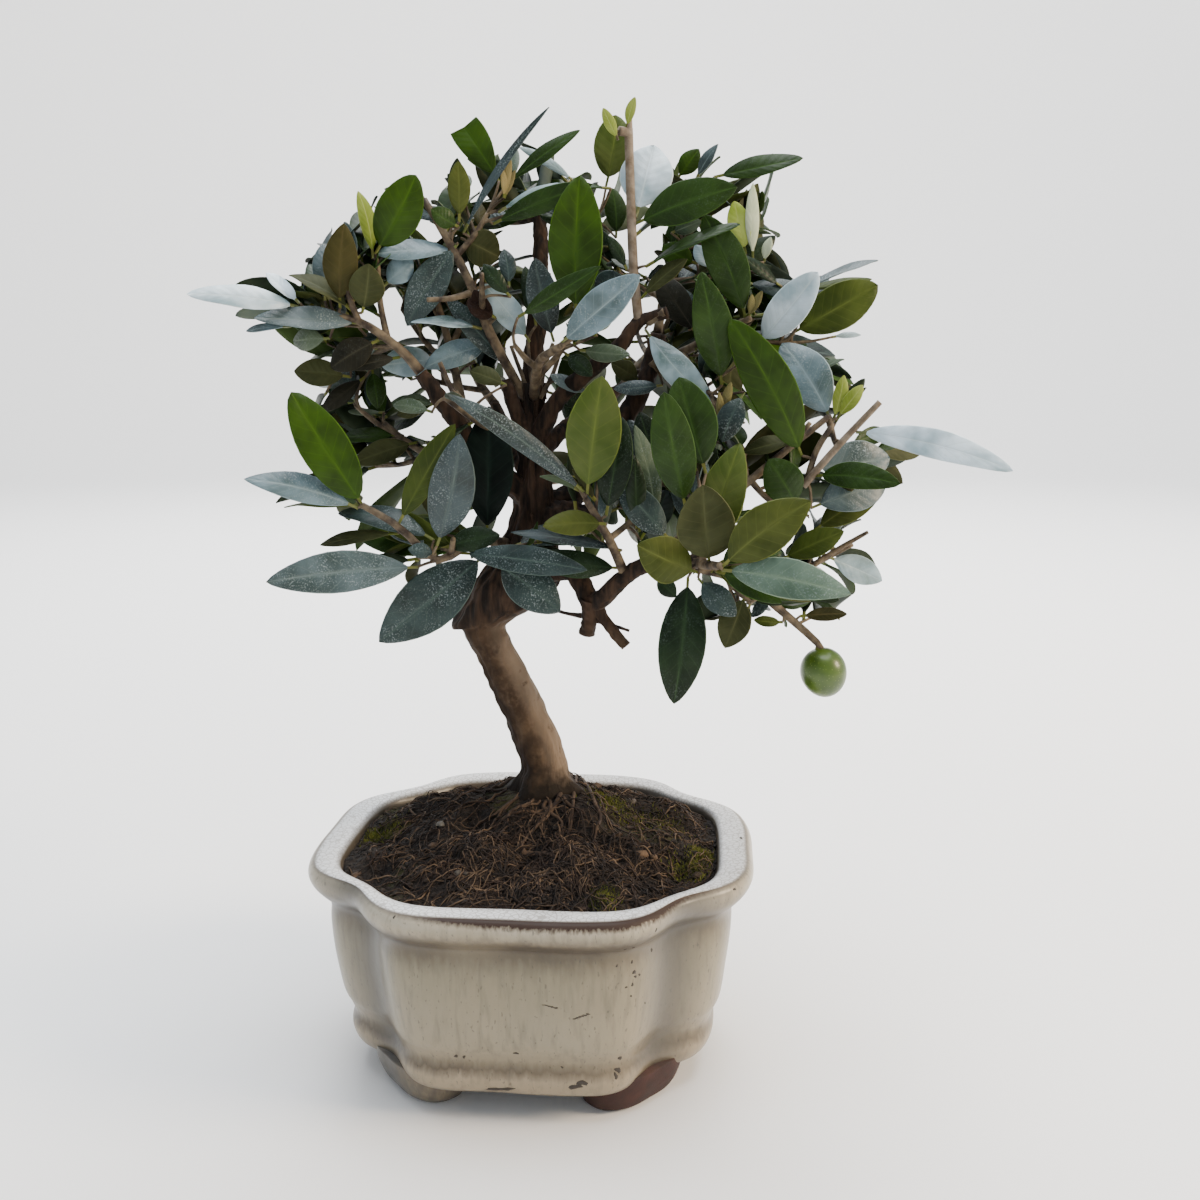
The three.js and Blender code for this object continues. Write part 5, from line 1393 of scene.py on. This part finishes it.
def leafMaterials(tone):
    # Olive leaves: a leathery waxed upper side that mirrors the sky, a felted grey underside, a pale midrib
    # and margin, and a yellow-green stalk. Dust lies on the old ones in white flecks.
    upper, patches, line, underside, roughness, dust, mirror = tones[tone]
    made = []
    for part, base, second, rough in (("Upper", upper, patches, roughness), ("Margin", line, patches, 0.5),
                                      ("Midrib", line, patches, 0.5), ("Under", underside, upper, 0.75),
                                      ("Stalk", "#6d6c36", "#505a25", 0.5)):
        material, tree, shader, place = newMaterial(tone + "OliveLeaf" + part, rough, 1.45,
                                                    Specular_IOR_Level=mirror)
        cloud = patternIn(tree, place, 11, 3.0)
        colour = mixOf(tree, spanOf(tree, cloud, 0.36, 0.64), base, second)
        if part == "Upper":
            length = attributeOf(tree, "along")
            breadth = mathOf(tree, "ABSOLUTE", attributeOf(tree, "across"))
            lag = mathOf(tree, "MULTIPLY", breadth, 1.5)
            rank = mathOf(tree, "SUBTRACT", mathOf(tree, "MULTIPLY", length, 9.0), lag)
            vein = mathOf(tree, "PINGPONG", rank, 0.5)
            colour = mixOf(tree, spanOf(tree, vein, 0.0, 0.07, 0.28, 0.0), colour, line)
            colour = mixOf(tree, spanOf(tree, breadth, 0.03, 0.16, 0.4, 0.0), colour, line)
            speck = spanOf(tree, patternIn(tree, place, 0.5, 3.0), 0.53, 0.72, 0.0, dust)
            drift = spanOf(tree, patternIn(tree, place, 9, 3.0), 0.42, 0.62, 0.1, 0.9)
            colour = mixOf(tree, mathOf(tree, "MULTIPLY", speck, drift), colour, "#a9b4b4")
            rise = mathOf(tree, "MULTIPLY_ADD", patternIn(tree, place, 1.4, 2.0), 0.5, vein)
            relief(tree, shader, rise, 0.1)
        tree.links.new(colour, shader.inputs["Base Color"])
        made.append(material)
    return made


def denseLine(line):  # many points of a line, and its direction at each
    line = evenly(line, 39)
    return line, unit(np.gradient(line, axis=0))


def joined(pairs):  # points of many lines in one array, and their directions in another
    return tuple(np.concatenate(group) for group in zip(*pairs))


denseTwigs = {name: joined(denseLine(twig[0]) for twig in twigs) for name, twigs in grown.items()}
placedLines = {name: placedTwigPath(*twig[:3]) for name, twig in placedTwigs.items()}
for name, line in placedLines.items():
    mass = placedTwigs[name][0]
    denseTwigs[mass] = joined([denseTwigs[mass], denseLine(line)])
filled = []
leaves = []
twiglets = []
for name in masses:
    placedThere, leading = placedOf(name)
    leaves += placedThere
    twiglets += leading
    filled += [leafProbes(*leaf[:4]) for leaf in placedThere]
print("stage: placed", len(leaves), "leaves on", len(twiglets), "twiglets")

# What the placed leaves cover, seen from the front: points over each of them, in a search tree
cover = {"from": 0.06, "to": 0.97, "rows": 12, "columns": (-0.8, 0, 0.8)}
coverPoints = []
for root, tip, face, width, tone in leaves:
    across = unit(np.cross(tip - root, face)) * width / 2
    shares = np.linspace(cover["from"], cover["to"], cover["rows"])[:, None, None]
    sides = np.array(cover["columns"])[None, :, None] * np.sin(np.pi * shares)
    coverPoints.append((root + (tip - root) * shares + across * sides).reshape(-1, 3))
coverPoints = np.concatenate(coverPoints)
coverU, coverV = inView(coverPoints)[:2]
coverTree = KDTree(len(coverPoints))
for i, place in enumerate(zip(coverU.tolist(), coverV.tolist())):
    coverTree.insert((*place, 0), i)
coverTree.balance()


def behindPlaced(probes):  # whether a leaf shows, seen from the front, only where placed leaves are before it
    probes = np.concatenate([probes, (probes[:-1] + probes[1:]) / 2])
    for probe, u, v in zip(probes, *inView(probes)[:2]):
        point, i, away = coverTree.find((u, v, 0))
        if away > growth["hidden"] or (probe - coverPoints[i]) @ ahead < growth["ahead"]:
            return False
    return True


# Short side twigs: where they leave a twig, their size and leaves, the turns tried, and masses with none
sprig = {"shares": (0.3, 0.55, 0.8, 1.0), "length": 12, "jitter": 0.25, "radius": (0.6, 0.4), "pairs": 2,
         "leaf": 27, "turns": (0, 60, -60, 120, -120, 180), "forward": 0.6, "upward": 0.3,
         "points": 5, "seedShift": 40, "without": {"elbow_top"}}


def sprigsOf(name, number):
    # they leave each twig at a wide angle, wherever they stay hidden behind the placed leaves
    draw = drawsFrom(growth["seedStep"] * (number + sprig["seedShift"]))
    found = []
    for path, *rest in grown[name]:
        for share in sprig["shares"]:
            root, direction = along(path, share)
            first, length = 180 * next(draw), sprig["length"] * (1 + sprig["jitter"] * next(draw))
            for shift in sprig["turns"]:
                out = squareTo(direction, first + shift)
                way = unit(direction * sprig["forward"] + out + np.array([0, 0, sprig["upward"]]))
                line = root + way * length * np.linspace(0, 1, sprig["points"])[:, None]
                if behindPlaced(line[1:]):
                    found.append((line, sprig["radius"], sprig["pairs"], first, sprig["leaf"], 0))
                    break
    return found


for number, name in enumerate(masses):
    sprigs = [] if name in sprig["without"] else sprigsOf(name, number)
    grown[name] += sprigs
    twigSamples[name] = np.concatenate([twigSamples[name], *(line for line, *rest in sprigs)])
    leaves += leavesOf(name, number, filled)
print("stage: grown to", len(leaves), "leaves")

chance = np.random.default_rng(5)
byTone = {tone: [] for tone in tones}
for *shape, tone in leaves:
    tone = tone if tone in tones else chance.choice(list(fillTones), p=list(fillTones.values()))
    byTone[tone].append(shape)
cutRoot = fromView(*placedLeaves["top_left"]["cutSquare"][:2], 0)
leafSkins = {tone: leafMaterials(tone) for tone in tones}
replaced = foliageNodes
for number, (tone, members) in enumerate(byTone.items()):
    root, tip, face, width = (np.array(values) for values in zip(*members))
    cut = np.ones(len(members))
    if tone == "vivid":
        cut[np.argmin(np.linalg.norm(root - cutRoot, axis=1))] = blade["cut"]
    points, values = bladePoints(root, tip, face, width, cut, number)
    addPiece("leaves_" + tone, points, tubeFaces(len(members), blade["rows"] + 2, len(blade["strips"])),
             leafSkins[tone], replaced, bladeSlots(len(members)), values)
    replaced = ()


def twigMaterial(name, first, second):  # young olive wood: a smooth skin with fine uneven patches
    return twoShades(name + "OliveWood", 0.7, (4, 4.0), (0.36, 0.64), (first, second), (1.2, 3.0, 0.25),
                     Specular_IOR_Level=0.3)


paleTwigs = {"elbow_top", "paleShoot", "elbowKnob"}
twigShape = {"steps": 12, "sides": 8, "dark": ("#2e241b", "#6b5d48"), "pale": ("#5d5040", "#857766")}
for name, ends in growth["stouter"].items():
    path, radii, *rest = grown[name][0]
    grown[name][0] = (path, ends, *rest)
twigs = [(name, path, ends) for name, members in grown.items() for path, ends, *rest in members]
twigs += [("", path, growth["twiglet"]) for path in twiglets]
twigs += [(name, line, placedTwigs[name][3:]) for name, line in placedLines.items()]
twigPaths = np.array([evenly(path, twigShape["steps"]) for name, path, ends in twigs])
twigEnds = np.array([ends for name, path, ends in twigs])
taper = np.linspace(0, 1, twigShape["steps"] + 1)
twigRadii = twigEnds[:, :1] + (twigEnds[:, 1:] - twigEnds[:, :1]) * taper
isPale = np.array([name in paleTwigs for name, path, ends in twigs])
for piece, tint, chosen in (("twigs", "dark", ~isPale), ("paleTwigs", "pale", isPale)):
    addPiece(piece, tubePoints(twigPaths[chosen], twigRadii[chosen], twigShape["sides"]),
             tubeFaces(chosen.sum(), len(taper), twigShape["sides"]),
             [twigMaterial(piece, *twigShape[tint])])

# ---- olive ----
olive = {
    "radius": 7.3, "length": 8, "sunk": 1, "around": 64, "rows": 48, "fuller": 0.05,
    # the calyx: from where to where along the stalk's line, and its radii at shares of that way
    "calyx": {"from": -1.6, "to": 0.7, "shares": (0, 0.6, 0.9, 1), "radii": (0.9, 1.3, 2.1, 1.7),
              "rows": 9, "sides": 16},
}
tip, hang = along(grown["olive_twig"][0][0], 1.0)


def oliveSurface():
    # an egg turned about the stalk's line: radius is a sine, a little fuller towards the stalk
    centre = tip + hang * (olive["length"] - olive["sunk"])
    polar = np.linspace(0, np.pi, olive["rows"] + 2)[1:-1]
    radius = olive["radius"] * np.sin(polar) * (1 + olive["fuller"] * np.cos(polar))
    line = centre - hang * (olive["length"] * np.cos(polar))[:, None]
    rings = tubes(line[None], radius[None], olive["around"])[0]
    ends = centre + hang * olive["length"] * np.array([[-1.0], [1.0]])
    return np.concatenate([rings.reshape(-1, 3), ends])


def oliveMaterial():
    # unripe olive: a taut waxy skin, yellow-green, with tiny pale breathing pores
    material, tree, shader, place = newMaterial("greenOliveSkin", 0.38, 1.45, Coat_Weight=0.15)
    cloud = patternIn(tree, place, 6, 2.0)
    colour = mixOf(tree, spanOf(tree, cloud, 0.35, 0.68), "#33480b", "#485f16")
    pore = addNode(tree, "ShaderNodeTexVoronoi", {"Scale": 1100.0}, {"Vector": place}).outputs["Distance"]
    colour = mixOf(tree, spanOf(tree, pore, 0.12, 0.22, 0.55, 0.0), colour, "#75883a")
    tree.links.new(colour, shader.inputs["Base Color"])
    return material


calyx = olive["calyx"]
share = np.linspace(0, 1, calyx["rows"])
calyxPath = tip + hang * np.linspace(calyx["from"], calyx["to"], calyx["rows"])[:, None]
calyxRadii = np.interp(share, calyx["shares"], calyx["radii"])
addPiece("oliveCalyx", tubePoints(calyxPath[None], calyxRadii[None], calyx["sides"]),
         tubeFaces(1, calyx["rows"], calyx["sides"]), [leafSkins["olive"][blade["stalk"]]])
addPiece("olive", oliveSurface(), tubeFaces(1, olive["rows"], olive["around"]), [oliveMaterial()])

# ---- floor and light ----
studio = {
    "floor": "#f9f8f6", "world": "#e4eefb", "strength": 0.6,
    # the floor, in metres: its flat part and rings on it, the radius of the bend, the wall's height
    "flat": 2.4, "flatRings": [0.3, 0.8], "bend": 1.3, "wall": 1.4, "around": 96, "bendRings": 14,
    # lights: place and aim in metres, size, power, colour
    "lights": {
        "sky": ((0.1, 0.1, 1.9), (0, 0, 0.17), 1.7, 54.0, "#f6faff"),
        "side": ((1.5, -0.25, 0.9), (0, 0, 0.15), 0.6, 37.0, "#ffe6c4"),
        "back": ((-0.3, 1.5, 1.1), (0, 0, 0.2), 1.0, 10.0, "#ffffff"),
        "wallGlow": ((0, 0.9, 2.2), (0, 3.6, 0.5), 1.6, 120.0, "#ffffff"),
    },
}


def studioBowl():  # a flat disc whose edge curves up into a round wall
    bend = np.linspace(0, np.pi / 2, studio["bendRings"])
    radius = np.concatenate([studio["flatRings"], studio["flat"] + studio["bend"] * np.sin(bend),
                             [studio["flat"] + studio["bend"]]])
    height = np.concatenate([[0, 0], studio["bend"] * (1 - np.cos(bend)), [studio["wall"]]])
    angle = circle(studio["around"])
    grid = np.stack([radius[:, None] * np.cos(angle), radius[:, None] * np.sin(angle),
                     height[:, None] + 0 * angle], -1)
    mesh = bpy.data.meshes.new("studioFloor")
    faces = gridFaces(len(radius), len(angle)).tolist() + [list(range(len(angle)))[::-1]]
    mesh.from_pydata(grid.reshape(-1, 3), [], faces)
    mesh.polygons.foreach_set("use_smooth", np.full(len(mesh.polygons), True))
    material = newMaterial("palePaperSweep", 0.9, base=studio["floor"])[0]
    mesh.materials.append(material)
    floor = bpy.data.objects.new("studioFloor", mesh)
    bpy.context.scene.collection.objects.link(floor)


studioBowl()
for name, (place, aim, size, power, tint) in studio["lights"].items():
    lamp = bpy.data.lights.new(name, "AREA")
    lamp.shape = "DISK"
    lamp.size = size
    lamp.energy = power
    lamp.color = hexColour(tint)[:3]
    light = bpy.data.objects.new(name, lamp)
    light.location = place
    light.rotation_euler = (Vector(aim) - Vector(place)).to_track_quat("-Z", "Y").to_euler()
    bpy.context.scene.collection.objects.link(light)
world = bpy.data.worlds.new("studioWorld")
world.use_nodes = True
world.node_tree.nodes["Background"].inputs["Color"].default_value = hexColour(studio["world"])
world.node_tree.nodes["Background"].inputs["Strength"].default_value = studio["strength"]
bpy.context.scene.world = world
print("stage: floor and lights")
